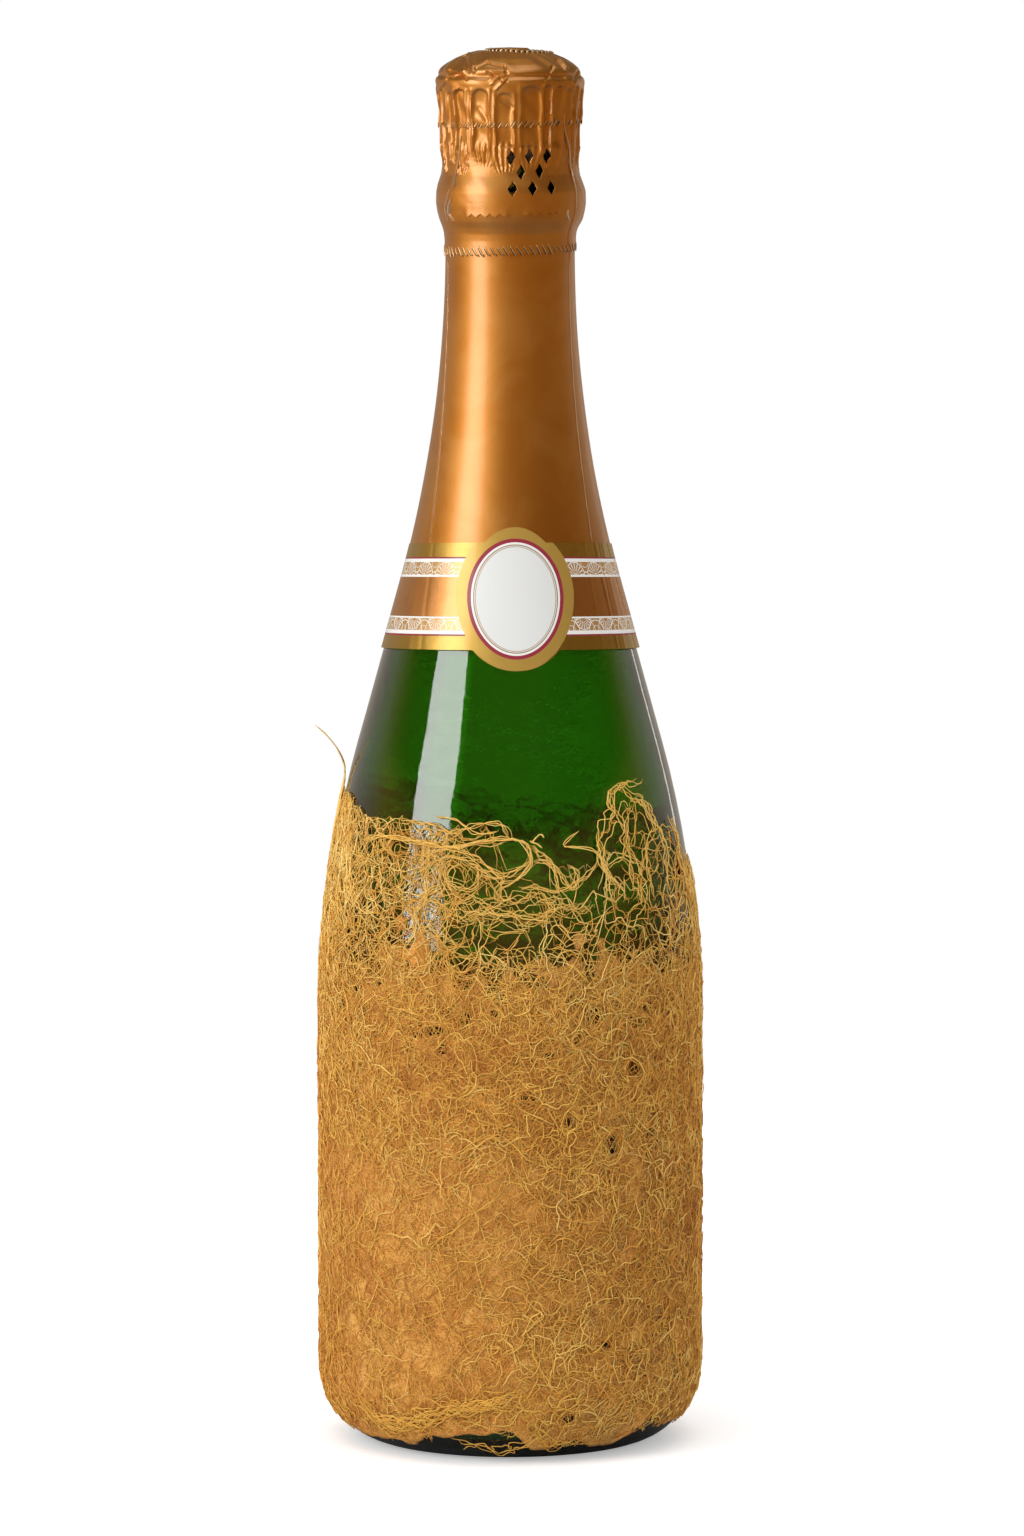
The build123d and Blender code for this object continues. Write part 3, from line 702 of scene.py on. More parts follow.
def flute_dents(azimuth, height):
    """How far the gathered foil is dented in or out at each point, in millimetres."""
    dent = np.zeros_like(height)
    kept = steps(height, flute_break - 1.6, flute_break + 0.8)
    risen = steps(height, fold_foot, flute_break)
    for number, (centre, width, top, depth) in enumerate(flutes):
        half = math.radians(width) * flute_radius / 2
        side = np.radians((azimuth - centre + 180) % 360 - 180) * flute_radius
        side = side + 0.12 * np.sin(height * 0.7 + number * 1.7)
        share = side / half
        across = np.clip(1 - share**4, 0, 1) ** 0.8
        arch = top - half * 1.1 * (1 - np.sqrt(np.clip(1 - share**2, 0, 1)))
        inside = steps(arch - height, 0, 0.6)
        uneven = 1 + 0.25 * np.sin(height * 0.9 + number * 2.3)
        dent -= depth * across * inside * (0.25 + 0.75 * kept) * uneven * risen
        ridge = ridge_rise * np.exp(-(((np.abs(side) - half * 1.1) / ridge_width) ** 2))
        dent += ridge * steps(top + 0.3 - height, 0, 0.8) * steps(height, fold_foot + 2, flute_break)
        foot = fold_foot + 1.2 * math.sin(number * 2.9)
        fade = steps(height, foot, foot + 3.5) * (1 - steps(height, flute_break - 1, flute_break + 1))
        narrow = np.clip((height - foot) / (flute_break - foot), 0.05, 1)
        zigzag = np.abs((share * 1.25 / narrow**0.5 + 40.5) % 1 - 0.5) * 2
        dent += pleat_depth * (zigzag - 0.5) * fade * (np.abs(share) < 1.1)
    return dent


def fold_dents(places):
    """How far the folds on the front of the foil raise or sink each point, in millimetres."""
    side = places[..., 0] / millimetre
    height = places[..., 2] / millimetre
    dent = np.zeros_like(side)
    for start_side, start_height, end_side, end_height, width, depth in fold_lines:
        run = np.array((end_side - start_side, end_height - start_height))
        along = (side - start_side) * run[0] + (height - start_height) * run[1]
        nearest = np.clip(along / np.hypot(*run) ** 2, 0, 1)
        away = np.hypot(
            side - start_side - nearest * run[0], height - start_height - nearest * run[1]
        )
        dent += depth * np.clip(1 - away / width, 0, 1) ** 1.2
    return dent * (places[..., 1] < 0)


def crumple(azimuth, height):
    """Broad soft unevenness of the pressed foil, in millimetres."""
    turn = np.radians(azimuth)
    return sum(
        size * np.sin(turns * turn + rise * height + start)
        for size, turns, rise, start in crumple_waves
    )


def seam_lift(azimuth, height):
    """The foil's overlap: it lies higher on one side of its vertical seam."""
    seam_azimuths, seam_heights = np.array(foil_seam[::-1]).T
    line = np.interp(height, seam_heights, seam_azimuths)
    lift = foil_seam_step * steps(azimuth, line - 0.8, line)
    return lift * (1 - steps(azimuth, line + 22, line + 50))


band_shape = rounded_outline(band_outline, band_rows, outline_rounding)


def band_radius(azimuth, height):
    """The tear band's outer radius in millimetres."""
    azimuth = np.asarray(azimuth, float)
    height = np.asarray(height, float)
    radius = np.interp(height, band_shape[:, 1], band_shape[:, 0])
    cover = np.exp(-(((azimuth - loop_azimuth) / loop_spread) ** 2)) * steps(height, 284, 286.6)
    radius = radius + flute_dents(azimuth, height) + seam_lift(azimuth, height)
    radius = radius + crumple(azimuth, height) * 0.5 * steps(height, 284, 300)
    return radius + loop_room * cover * (1 - steps(height, 291, 297))


# Tear band, with its vent holes cut through by eight diamond-shaped pegs
azimuth, radius, height = revolved_grid(band_shape, foil_columns)
radius = band_radius(azimuth, height)
tilt = perforation_tilt * np.sin(np.radians(azimuth))
height = height + tilt * (1 - steps(height, 281, 285)) + tilt * steps(height, 303, 307)
places = around_axis(azimuth, radius, height)
places += grid_normals(places) * (fold_dents(places) * millimetre)[..., None]
tear_band = skin_from("foil_tear_band_skin", places, foil_wall)
vent_spread = math.degrees(vent_width / 2 / 16.0)
vent_corners = ((vent_spread, 0), (0, vent_height / 2), (-vent_spread, 0), (0, -vent_height / 2))
cutter_points = []
cutter_faces = []
for vent_azimuth, centre_height in vents:
    first = len(cutter_points)
    for reach in vent_cut:
        for turn, rise in vent_corners:
            cutter_points.append(around_axis(vent_azimuth + turn, reach, centre_height + rise))
    cutter_faces.append((first + 0, first + 1, first + 2, first + 3))
    cutter_faces.append((first + 7, first + 6, first + 5, first + 4))
    for side in range(4):
        beside = (side + 1) % 4
        cutter_faces.append((first + side, first + 4 + side, first + 4 + beside, first + beside))
vent_cutter = piece_from("vent_cutter", cutter_points, cutter_faces)
cut = tear_band.modifiers.new("vents", "BOOLEAN")
cut.object = vent_cutter
cut.operation = "DIFFERENCE"
cut.solver = "EXACT"


def finished_mesh(thing):
    """The mesh that a thing's modifiers make."""
    bpy.context.view_layer.update()
    shape = thing.evaluated_get(bpy.context.evaluated_depsgraph_get())
    return bpy.data.meshes.new_from_object(shape)


cut_mesh = finished_mesh(tear_band)
tear_band.modifiers.clear()
tear_band.data = cut_mesh
bpy.data.objects.remove(vent_cutter)
finish_piece(tear_band, copper_foil, "foil_top", "copper_foil", "foil_tear_band")

# The upper layer's pinked edge, which stands off the layer under it here and there
columns = pinked_teeth * 10
azimuth = np.linspace(-180, 180, columns, endpoint=False)
tooth = np.abs((azimuth / 360 * pinked_teeth) % 1 - 0.5) * 2
open_share = sum(
    steps(azimuth, low - 3, low + 3) * (1 - steps(azimuth, high - 3, high + 3))
    for low, high in pinked_windows
)
edge_height = pinked_foot + pinked_tooth * (tooth - 0.5) * open_share
edge_height += 0.35 * np.sin(np.radians(azimuth))
share = np.linspace(0, 1, pinked_rows)[:, None]
height = edge_height + (pinked_foot + pinked_tall - edge_height) * share
azimuth = np.repeat(azimuth[None], pinked_rows, 0)
radius = band_radius(azimuth, height) + 0.03
radius += (0.22 + 0.16 * (1 - tooth)) * open_share * (1 - share) ** 1.5
pinked_edge = skin_from("foil_pinked_edge", around_axis(azimuth, radius, height), pinked_wall)
finish_piece(pinked_edge, copper_foil, "foil_top", "copper_foil")
pinked_edge.data.materials.append(bare_foil)
rim_start = (pinked_rows - 1) * columns * 2
for face in pinked_edge.data.polygons[rim_start : rim_start + columns]:
    face.material_index = 1
torn_pieces = [tear_band, pinked_edge]
for number, (line, width) in enumerate(silver_folds):
    placed = [(turn, float(band_radius(turn, rise)) + 0.1, rise) for turn, rise in line]
    fold = ribbon(f"foil_silver_fold_{number + 1}", placed, width, silver_fold_rise)
    finish_piece(fold, bare_foil, "foil_top", "copper_foil")
    torn_pieces.append(fold)

# Hood
hood_shape = rounded_outline(hood_outline, hood_rows, outline_rounding)
hood_shape[-1, 0] = 0.0
azimuth, radius, height = revolved_grid(hood_shape, foil_columns)
tilt = perforation_tilt * np.sin(np.radians(azimuth)) * (1 - steps(height, 310, 314))
bumps = flute_dents(azimuth, height) + seam_lift(azimuth, height) + crumple(azimuth, height)
bumps *= steps(radius, *hood_fade)
places = around_axis(azimuth, radius, height + tilt)
bumps += fold_dents(places)
places += grid_normals(places) * bumps[..., None] * millimetre
foil_hood = skin_from("foil_hood_skin", places, foil_wall, closed_top=True)
finish_piece(foil_hood, copper_foil, "foil_top", "copper_foil", "foil_hood")

# Embossed dots and perforation cuts: marks in a ring, each dropped on to the foil beside it.
# Each is a raised lip of paler foil with a painted highlight, and beside it a near-black blob
# of painted shade, for the dark in a cut or the shadow beside a dot.
input_kinds = {"Foil": "Object", "Count": "Int", "Seed": "Int", "Bends": "Int", "Copies": "Int"}
mark_inputs = (
    "Foil", "Count", "Ring Radius", "Ring Side", "Height", "Tilt", "Inwards", "Slant", "Long", "Wide",
    "Seed",
)
mark_rings = (
    # name, then each input: heights, sides and radii in mm, and slants in radians
    ("foil_upper_perforation", foil_hood, 66, 30.0, 0.0, 308.7, 0.45, 1.0, 0.62, 2.2, 0.36, 3),
    ("foil_lower_perforation", tear_band, 62, 30.0, 0.0, 279.6, 0.45, 1.0, -0.58, 2.8, 0.34, 5),
    ("foil_embossed_dots", foil_hood, 38, 7.6, 2.2, 335.0, 0.0, 0.0, 0.0, 0.95, 1.0, 7),
)


def joined(tree, *parts):
    """A vector of up to three parts."""
    return add_node(tree, "ShaderNodeCombineXYZ", dict(enumerate(parts))).outputs[0]


def geometry(tree, kind, inputs, **settings):
    """Adds a geometry node, and returns its first output."""
    return add_node(tree, f"GeometryNode{kind}", inputs, **settings).outputs[0]


def random_number(tree, inputs):
    """A random number for each point. It runs from 0 to 1 unless inputs 2 and 3 say otherwise."""
    node = add_node(tree, "FunctionNodeRandomValue", inputs, data_type="FLOAT")
    return Field(tree, node.outputs[1])


def new_geometry_tree(name, labels):
    """A Geometry Nodes tree with named inputs, and those inputs as fields."""
    tree = bpy.data.node_groups.new(name, "GeometryNodeTree")
    for in_out in ("INPUT", "OUTPUT"):
        tree.interface.new_socket("Geometry", in_out=in_out, socket_type="NodeSocketGeometry")
    for label in labels:
        kind = f"NodeSocket{input_kinds.get(label, 'Float')}"
        tree.interface.new_socket(label, in_out="INPUT", socket_type=kind)
    entry = add_node(tree, "NodeGroupInput").outputs
    return tree, {label: Field(tree, entry[label]) for label in ("Geometry", *labels)}


def run_tree(name, tree, values, curve=None):
    """Runs a Geometry Nodes tree on a new object, and keeps the mesh that it makes."""
    seed = new_object(f"{name}_seed", curve or bpy.data.meshes.new(f"{name}_seed"))
    modifier = seed.modifiers.new(name, "NODES")
    modifier.node_group = tree
    for item in tree.interface.items_tree:
        if item.in_out == "INPUT" and item.name in values:
            modifier[item.identifier] = values[item.name]
    mesh = finished_mesh(seed)
    mesh.name = name
    bpy.data.objects.remove(seed)
    return new_object(name, mesh)


mark_tree, value = new_geometry_tree("foil_marks", mark_inputs)
tree = mark_tree
inwards, wide, long = value["Inwards"], value["Wide"], value["Long"]
ring_radius = value["Ring Radius"] * millimetre
ring = geometry(tree, "MeshCircle", {"Vertices": value["Count"], "Radius": ring_radius})
across, depth, _ = split(tree, geometry(tree, "InputPosition", {}))
turn = across.math("ARCTAN2", depth * -1.0)
level = (value["Height"] + value["Tilt"] * turn.math("SINE")) * millimetre
start = joined(tree, across + value["Ring Side"] * millimetre, depth, level)
heading = joined(tree, across * -1.0 * inwards, depth * -1.0 * inwards, inwards - 1.0)
target = add_node(tree, "GeometryNodeObjectInfo", {"Object": value["Foil"]}, transform_space="RELATIVE")
aimed = {"Source Position": start, "Ray Direction": heading, "Ray Length": 0.1}
aimed["Target Geometry"] = target.outputs["Geometry"]
hit = add_node(tree, "GeometryNodeRaycast", aimed).outputs["Hit Position"]
placed = geometry(tree, "SetPosition", {"Geometry": ring, "Position": hit})
ball = geometry(tree, "MeshIcoSphere", {"Radius": 0.5 * millimetre, "Subdivisions": 2})
lip = geometry(tree, "Transform", {"Geometry": ball, "Scale": joined(tree, wide, wide * 0.9, long)})
lip = geometry(tree, "SetMaterial", {"Geometry": lip, "Material": foil_crease})
# A near-black blob of painted shade beside each lip, standing for the dark in the cut
shade_mark_size = joined(tree, wide * 0.7, wide * 0.5, long * 0.8)
shade_mark_shift = joined(tree, wide * (-0.7 * millimetre))
shade_mark = {"Geometry": ball, "Translation": shade_mark_shift, "Scale": shade_mark_size}
shade_mark = geometry(tree, "Transform", shade_mark)
painted_shade_material, shade_mark_tree, shader = new_material("perforation_slit")
look(shade_mark_tree, shader, base_color=(0.03, 0.012, 0.003), roughness=0.8)
shade_mark = geometry(tree, "SetMaterial", {"Geometry": shade_mark, "Material": painted_shade_material})
both = add_node(tree, "GeometryNodeJoinGeometry")
tree.links.new(lip, both.inputs[0])
tree.links.new(shade_mark, both.inputs[0])
jitter = random_number(tree, {2: -0.09, 3: 0.09, "Seed": value["Seed"]})
stretch = random_number(tree, {2: 0.75, 3: 1.15, "Seed": value["Seed"] + 1.0})
copied = {"Points": placed, "Instance": both.outputs[0], "Scale": stretch}
copied["Rotation"] = joined(tree, 0.0, value["Slant"] + jitter, turn)
marks = geometry(tree, "InstanceOnPoints", copied)
marks = geometry(tree, "SetShadeSmooth", {0: geometry(tree, "RealizeInstances", {0: marks})})
add_node(tree, "NodeGroupOutput", {0: marks})
for name, *numbers in mark_rings:
    marks = run_tree(name, mark_tree, dict(zip(mark_inputs, numbers)))
    finish_piece(marks, None, "foil_top", "copper_foil")
    if numbers[0] == tear_band:
        torn_pieces.append(marks)

# The wire loop swings out only when the band over it is torn, which crumples the band up to the
# hood. Here each piece of the band only gets a mesh of its own.
for piece in torn_pieces:
    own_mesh(piece)

# Neck label: one die-cut piece of coated paper, a collar with an oval medallion over its front,
# printed with gold, red and white borders and lace round a copper field. It is glued over the
# foil. Its collar is cut a little straighter than the neck's cone, so its sides hang lower.
label_wall = 0.22 * millimetre
label_stand_off = 0.62
label_columns = 480
label_rows = 30
label_radius = 27.0
label_lap = 57.0
label_lap_step = 0.2
collar_foot = 188.4
collar_height = 24.35
collar_sag = 4.0
medallion_azimuth = 3.0
medallion_height = 199.95
medallion_width = 26.8
medallion_tall = 32.6
label_creases = (
    # azimuth at the top and the foot, width and depth in mm
    (60.5, 58.5, 0.8, -0.14), (66.0, 63.0, 1.2, 0.12), (72.5, 75.0, 1.0, -0.16),
    (-63.0, -52.0, 1.6, 0.10), (-50.0, -44.0, 1.1, -0.08), (48.0, 46.5, 0.7, 0.08),
)
print_white = (0.68, 0.67, 0.63)
print_red = (0.26, 0.008, 0.028)
print_gold = (0.60, 0.38, 0.08)
print_smudge = (0.2, 0.1, 0.02)
collar_gold = (0.62, 0.40, 0.09)
collar_red = (0.24, 0.008, 0.025)
collar_copper = (0.76, 0.36, 0.12)
lace_ground = (0.72, 0.43, 0.17)
field_grey = (0.60, 0.60, 0.58)
outer_line = (0.30, 0.16, 0.04)
inner_line = (0.38, 0.24, 0.09)
label_bands = (
    # from the collar's foot up: where each band starts in mm, its colour and how metallic it is
    (0.0, collar_gold, 1.0),
    (3.05, collar_red, 0.0),
    (3.5, print_white, 0.0),
    (4.35, lace_ground, 0.7),
    (7.05, print_white, 0.0),
    (7.5, collar_copper, 1.0),
    (16.5, print_white, 0.0),
    (16.95, lace_ground, 0.7),
    (19.95, print_white, 0.0),
    (20.65, collar_red, 0.0),
    (21.05, collar_gold, 1.0),
)
medallion_ovals = (
    # width and height in mm of each oval, laid over the last, its colour and how metallic it is
    (medallion_width + 0.4, medallion_tall + 0.4, print_gold, 0.6),
    (22.3, 27.4, print_red, 0.0),
    (20.6, 25.7, print_white, 0.0),
    (19.6, 24.7, outer_line, 0.3),
    (19.15, 24.25, field_grey, 0.0),
    (18.75, 23.85, inner_line, 0.3),
    (18.45, 23.55, field_grey, 0.0),
)
fan_count = 24
fan_rays = 17.0
fan_gap = 0.62
lower_lace = (4.35, 7.05)
lower_radius = 29.8
upper_lace = (16.95, 19.95)
upper_radius = 26.8

azimuth = np.linspace(-180, 180, label_columns, endpoint=False)
sag = collar_sag * np.sin(np.radians(azimuth / 2)) ** 2
reach = np.radians(azimuth - medallion_azimuth) * label_radius / (medallion_width / 2)
bulge = medallion_tall / 2 * np.sqrt(np.clip(1 - reach**2, 0, 1))
foot_edge = np.minimum(collar_foot - sag, np.where(bulge > 0, medallion_height - bulge, 999.0))
top_edge = np.where(bulge > 0, medallion_height + bulge, 0.0)
top_edge = np.maximum(collar_foot + collar_height - sag, top_edge)
share = np.linspace(0, 1, label_rows)[:, None]
height = foot_edge + (top_edge - foot_edge) * share
azimuth = np.repeat(azimuth[None], label_rows, 0)
radius = glass_radius(height) + label_stand_off
lap = steps(azimuth, label_lap - 0.35, label_lap)
radius += label_lap_step * lap * (1 - steps(azimuth, 90, 130))
for top_azimuth, foot_azimuth, width, depth in label_creases:
    line = foot_azimuth + (top_azimuth - foot_azimuth) * (height - collar_foot) / collar_height
    away = np.abs(azimuth - line) * math.pi / 180 * label_radius / width
    radius += depth * np.clip(1 - away, 0, 1) ** 1.3
neck_label = skin_from("neck_label_paper", around_axis(azimuth, radius, height), label_wall)

label_print, tree, shader = new_material("label_print")
across, depth, height = [part * 1000.0 for part in split(tree, object_place(tree))]
turn = across.math("ARCTAN2", depth * -1.0)
rise = height + (1 - turn.math("COSINE")) * (collar_sag / 2) - collar_foot
fine, blotch = grain(tree, 1800.0, 260.0)
ramp = add_node(tree, "ShaderNodeValToRGB", {0: rise / collar_height})
ramp.color_ramp.interpolation = "CONSTANT"
stops = ramp.color_ramp.elements
stops.remove(stops[1])
for number, (start, paint, metal) in enumerate(label_bands):
    stop = stops.new(start / collar_height) if number else stops[0]
    stop.position = start / collar_height
    stop.color = (*paint, metal)
colour = ramp.outputs["Color"]
metal = Field(tree, ramp.outputs["Alpha"])


def between(field, low, high):
    """1 where the field is between low and high."""
    return (field > low) * (field < high)


def hypotenuse(first, second):
    """The length of the slant of two fields."""
    return (first * first + second * second).math("SQRT")


def repeated(shift, radius):
    """Distance in mm along the collar from the middle of each repeat of its lace."""
    share = (turn * (fan_count / (2 * math.pi)) + shift).math("FRACT")
    return (share - 0.5) * (2 * math.pi * radius / fan_count)


def fan(side, lift, low, high):
    """The reach from the foot of each fan, and its rays from a low to a high reach."""
    reach = hypotenuse(side, lift)
    rays = (side.math("ARCTAN2", lift) * fan_rays).math("COSINE") > fan_gap
    return reach, rays * between(reach, low, high)


def any_of(*fields):
    """The greatest of some fields."""
    result = fields[0]
    for field in fields[1:]:
        result = result.math("MAXIMUM", field)
    return result


# Upper lace: fans of rays on their feet, with round arches hanging between them
fan_reach, rays = fan(repeated(0.0, upper_radius), rise - 16.9, 0.8, 2.7)
arch_reach = hypotenuse(repeated(0.5, upper_radius), rise - 20.1)
arches = any_of(between(arch_reach, 2.35, 2.55), between(arch_reach, 1.3, 1.42))
upper = any_of(rays, between(fan_reach, 2.85, 3.05), between(fan_reach, 0.35, 0.55))
upper = any_of(upper, arches * (fan_reach > 3.05))
# Lower lace: fans that hang, and a row of arches that crosses them
hang_reach, rays = fan(repeated(0.0, lower_radius), 7.1 - rise, 0.7, 2.3)
foot_reach = hypotenuse(repeated(0.5, lower_radius), rise - 4.3)
cross_reach = hypotenuse(repeated(0.0, lower_radius), rise - 4.0)
lower = any_of(
    rays,
    between(hang_reach, 2.42, 2.6),
    between(foot_reach, 2.3, 2.48),
    between(foot_reach, 1.1, 1.22),
    between(cross_reach, 3.3, 3.45),
)
lace = any_of(upper * between(rise, *upper_lace), lower * between(rise, *lower_lace))
colour = mixed(tree, lace, colour, print_white)
metal = metal * (1 - lace)

# Medallion: seen from its own azimuth, rings of gold, red and white round a pale oval
face = math.radians(medallion_azimuth)
side = across * math.cos(face) + depth * math.sin(face)
lift = height - medallion_height
for width, tall, paint, shine in medallion_ovals:
    oval = (hypotenuse(side / (width / 2), lift / (tall / 2)) < 1.0) * (depth < 0.0)
    colour = mixed(tree, oval, colour, paint)
    metal = metal * (1 - oval) + oval * shine
colour = mixed(tree, (blotch - 0.5) * 0.6 * metal, colour, print_smudge)
look(tree, shader, base_color=colour, metallic=metal, roughness=0.44)
look(tree, shader, coat_weight=0.5, coat_roughness=0.15)
raise_surface(tree, shader, fine + blotch * 2.0 + metal, 0.00002)
finish_piece(neck_label, label_print, "bottle", "label_paper", "neck_label")

# Fibre wrap: curly golden plant fibres laid wet round the glass and felted into a mat, which
# thins out upwards into an open lace. The mat is a thin skin laid on the glass, and the
# loose fibres on it are pieces of their own, a fifth to a third of a millimetre thick.
felt_wall = 0.35 * millimetre
felt_columns = 300
felt_rows = 150
felt_low = 3.0
felt_high = 142.0
felt_stand_off = 0.45
felt_least = 0.42
felt_nudge = 0.7
fibre_top = (
    # azimuth in degrees and height in mm of the lace's upper edge
    (-180, 146), (-150, 150), (-122, 143), (-104, 150), (-90, 155.5), (-71, 154), (-57, 150),
    (-37, 150.5), (-24, 149.5), (-8, 149.5), (0, 147), (7, 146), (13, 140.5), (21, 139), (27, 141),
    (31, 146), (36, 152), (41, 157), (48, 158.5), (53, 153.5), (59, 149), (69, 146), (74, 140),
    (90, 134.5), (108, 141), (128, 148), (152, 142), (180, 146),
)
fibre_gaps = (
    # azimuth in degrees, height, half width and half height in mm
    (-3.1, 141.3, 6.6, 2.4), (0.9, 130.4, 7.8, 1.8), (0.9, 134.2, 4.2, 1.8), (-15.1, 136.8, 3.0, 2.0),
    (-7.0, 138.1, 1.8, 1.2), (8.9, 135.8, 2.0, 1.8), (-36.5, 143.2, 3.3, 1.5), (-59.8, 145.0, 2.4, 1.8),
    (-46.3, 124.7, 1.8, 1.5), (-26.3, 128.4, 2.1, 1.2), (-14.3, 117.5, 2.7, 1.5),
    (-16.1, 123.3, 1.5, 0.9), (-22.9, 101.5, 2.1, 1.2), (-5.1, 105.8, 1.2, 0.9),
    (25.7, 104.9, 2.4, 2.1), (20.0, 99.6, 1.2, 1.2), (40.2, 102.6, 3.0, 1.5), (45.4, 106.0, 2.4, 1.5),
    (11.8, 96.0, 1.2, 0.9), (40.2, 92.0, 2.1, 1.8), (5.4, 85.9, 2.1, 1.5), (17.6, 80.9, 1.5, 1.5),
    (31.7, 74.4, 1.8, 2.4), (46.4, 76.2, 2.1, 0.9), (-49.9, 137.5, 2.4, 1.2), (-2.1, 125.5, 3.6, 1.5),
    (-67.4, 132.7, 1.2, 1.5), (30.0, 28.0, 1.8, 1.0), (61.6, 143.7, 1.5, 1.8), (18.0, 11.0, 1.6, 1.2),
)
net_cell = 4.4
net_hole = 1.9
net_least = 0.2
net_zone = (106.0, 124.0)
wave_numbers = np.random.default_rng(11)
felt_dark = (0.60, 0.20, 0.016)
felt_pale = (0.66, 0.29, 0.040)
felt_tuft = (0.76, 0.40, 0.085)
felt_shadow = (0.20, 0.09, 0.02)
hair_pale = (0.80, 0.45, 0.10)
hair_dark = (0.16, 0.05, 0.008)
strand_stops = (
    # tint, and the strands' colour there
    (0.1, (0.46, 0.14, 0.012)),
    (0.38, (0.68, 0.29, 0.035)),
    (0.64, (0.78, 0.43, 0.06)),
    (0.95, (0.86, 0.60, 0.18)),
)


def waves(azimuth, height, size, count=40):
    """Smooth random waves of a given size in mm on the bottle's side, about -1.5 to 1.5."""
    total = np.zeros_like(height)
    for _ in range(count):
        heading = wave_numbers.uniform(0, math.pi)
        length = size * wave_numbers.uniform(0.7, 1.5)
        turns = round(2 * math.pi * barrel_radius * math.cos(heading) / length)
        total += np.sin(
            np.radians(azimuth) * turns
            + height * 2 * math.pi * math.sin(heading) / length
            + wave_numbers.uniform(0, 6.28)
        )
    return total / math.sqrt(count / 2)


def bell(value, middle, width):
    """1 in the middle and falling off to 0 on both sides."""
    return np.exp(-(((value - middle) / width) ** 2))


felt_shape = np.stack((np.zeros(felt_rows), np.linspace(felt_low, felt_high, felt_rows)), 1)
azimuth, radius, height = revolved_grid(felt_shape, felt_columns)
foot_line = 3.2 + 5.2 * bell(azimuth, -11, 16.0) + 0.9 * waves(azimuth, height * 0, 14.0)
foot_line += 3.4 * bell(azimuth, 62, 22.0)
risen = height - (8.0 * bell(azimuth, 25, 26.0) + 13.0 * bell(azimuth, -33, 12.0))
cover = 1.75 - 2.2 * steps(risen, 92.0, 122.0)
cover -= 3.5 * steps(risen, 108.0, 126.0)
cover += waves(azimuth, height, 7.0, 60) * (0.42 + 0.38 * steps(height, 60.0, 110.0))
cover = np.minimum(cover, (height - foot_line) * 0.8)
for gap_azimuth, gap_height, gap_width, gap_rise in fibre_gaps:
    side = ((azimuth - gap_azimuth + 180) % 360 - 180) * math.pi / 180 * barrel_radius
    away = np.hypot(side / gap_width, (height - gap_height) / gap_rise)
    cover = np.minimum(cover, (away - 1.0) * 1.2)
radius = glass_radius(height) + felt_stand_off
radius += 0.16 * waves(azimuth, height, 9.0) + 0.07 * waves(azimuth, height, 3.5)
radius = np.maximum(radius, glass_radius(height) + felt_least)

# The mat: a closed skin where its cover is above 0, with its rims drawn on to that line
slope_turn = (np.roll(cover, -1, 1) - np.roll(cover, 1, 1)) / 2
slope_rise = np.gradient(cover, axis=0)
steep = np.maximum(slope_turn**2 + slope_rise**2, 0.0001)
kept = cover > 0
step_turn = np.clip(np.where(kept, 0, -cover * slope_turn / steep), -felt_nudge, felt_nudge)
step_rise = np.clip(np.where(kept, 0, -cover * slope_rise / steep), -felt_nudge, felt_nudge)
cell_rise = height[1, 0] - height[0, 0]
azimuth = azimuth + step_turn * (360 / felt_columns)
outer = around_axis(azimuth, radius, height + step_rise * cell_rise)
inner = outer - grid_normals(outer) * felt_wall
here = np.arange(kept.size).reshape(kept.shape)
right = np.roll(here, -1, 1)
cells = np.stack((here[:-1], right[:-1], right[1:], here[1:]), -1)
shown = kept.reshape(-1)[cells].sum(-1) >= 2
work = bmesh.new()
points = [work.verts.new(point) for point in outer.reshape(-1, 3)]
backs = [work.verts.new(point) for point in inner.reshape(-1, 3)]
edges = {}
for face in [tuple(face) for face in cells[shown]]:
    work.faces.new([points[corner] for corner in face])
    work.faces.new([backs[corner] for corner in reversed(face)])
    for first, second in zip(face, face[1:] + face[:1]):
        edges[(first, second)] = True
for first, second in edges:
    if (second, first) not in edges:
        work.faces.new((points[second], points[first], backs[first], backs[second]))
loose = [vertex for vertex in work.verts if not vertex.link_faces]
bmesh.ops.delete(work, geom=loose, context="VERTS")
felt_mesh = bpy.data.meshes.new("fibre_felt")
work.to_mesh(felt_mesh)
work.free()
felt_mesh.shade_smooth()
felt = new_object("fibre_felt", felt_mesh)

fibre_felt, tree, shader = new_material("fibre_felt")
place = object_place(tree)
fine, blotch = grain(tree, 3200.0, 34.0)
hair = noise(tree, place, 1500.0, 5.0, 3.0)
tuft = noise(tree, place, 160.0, 3.0)
shaded_side = split(tree, place)[0].rise(-0.006, 0.03)
base = mixed(tree, blotch.rise(0.36, 0.64), felt_dark, felt_pale)
base = mixed(tree, tuft.rise(0.45, 0.75) * 0.55, base, felt_tuft)
base = mixed(tree, shaded_side * (1 - tuft.rise(0.42, 0.60)) * 0.85, base, felt_shadow)
base = mixed(tree, hair.rise(0.47, 0.62), base, hair_pale)
base = mixed(tree, (1 - hair.rise(0.33, 0.46)) * 0.85, base, hair_dark)
look(tree, shader, base_color=base, roughness=0.75)
raise_surface(tree, shader, hair + fine * 0.4, 0.00035)
finish_piece(felt, fibre_felt, "bottle", "golden_fibre", "fibre_wrap")

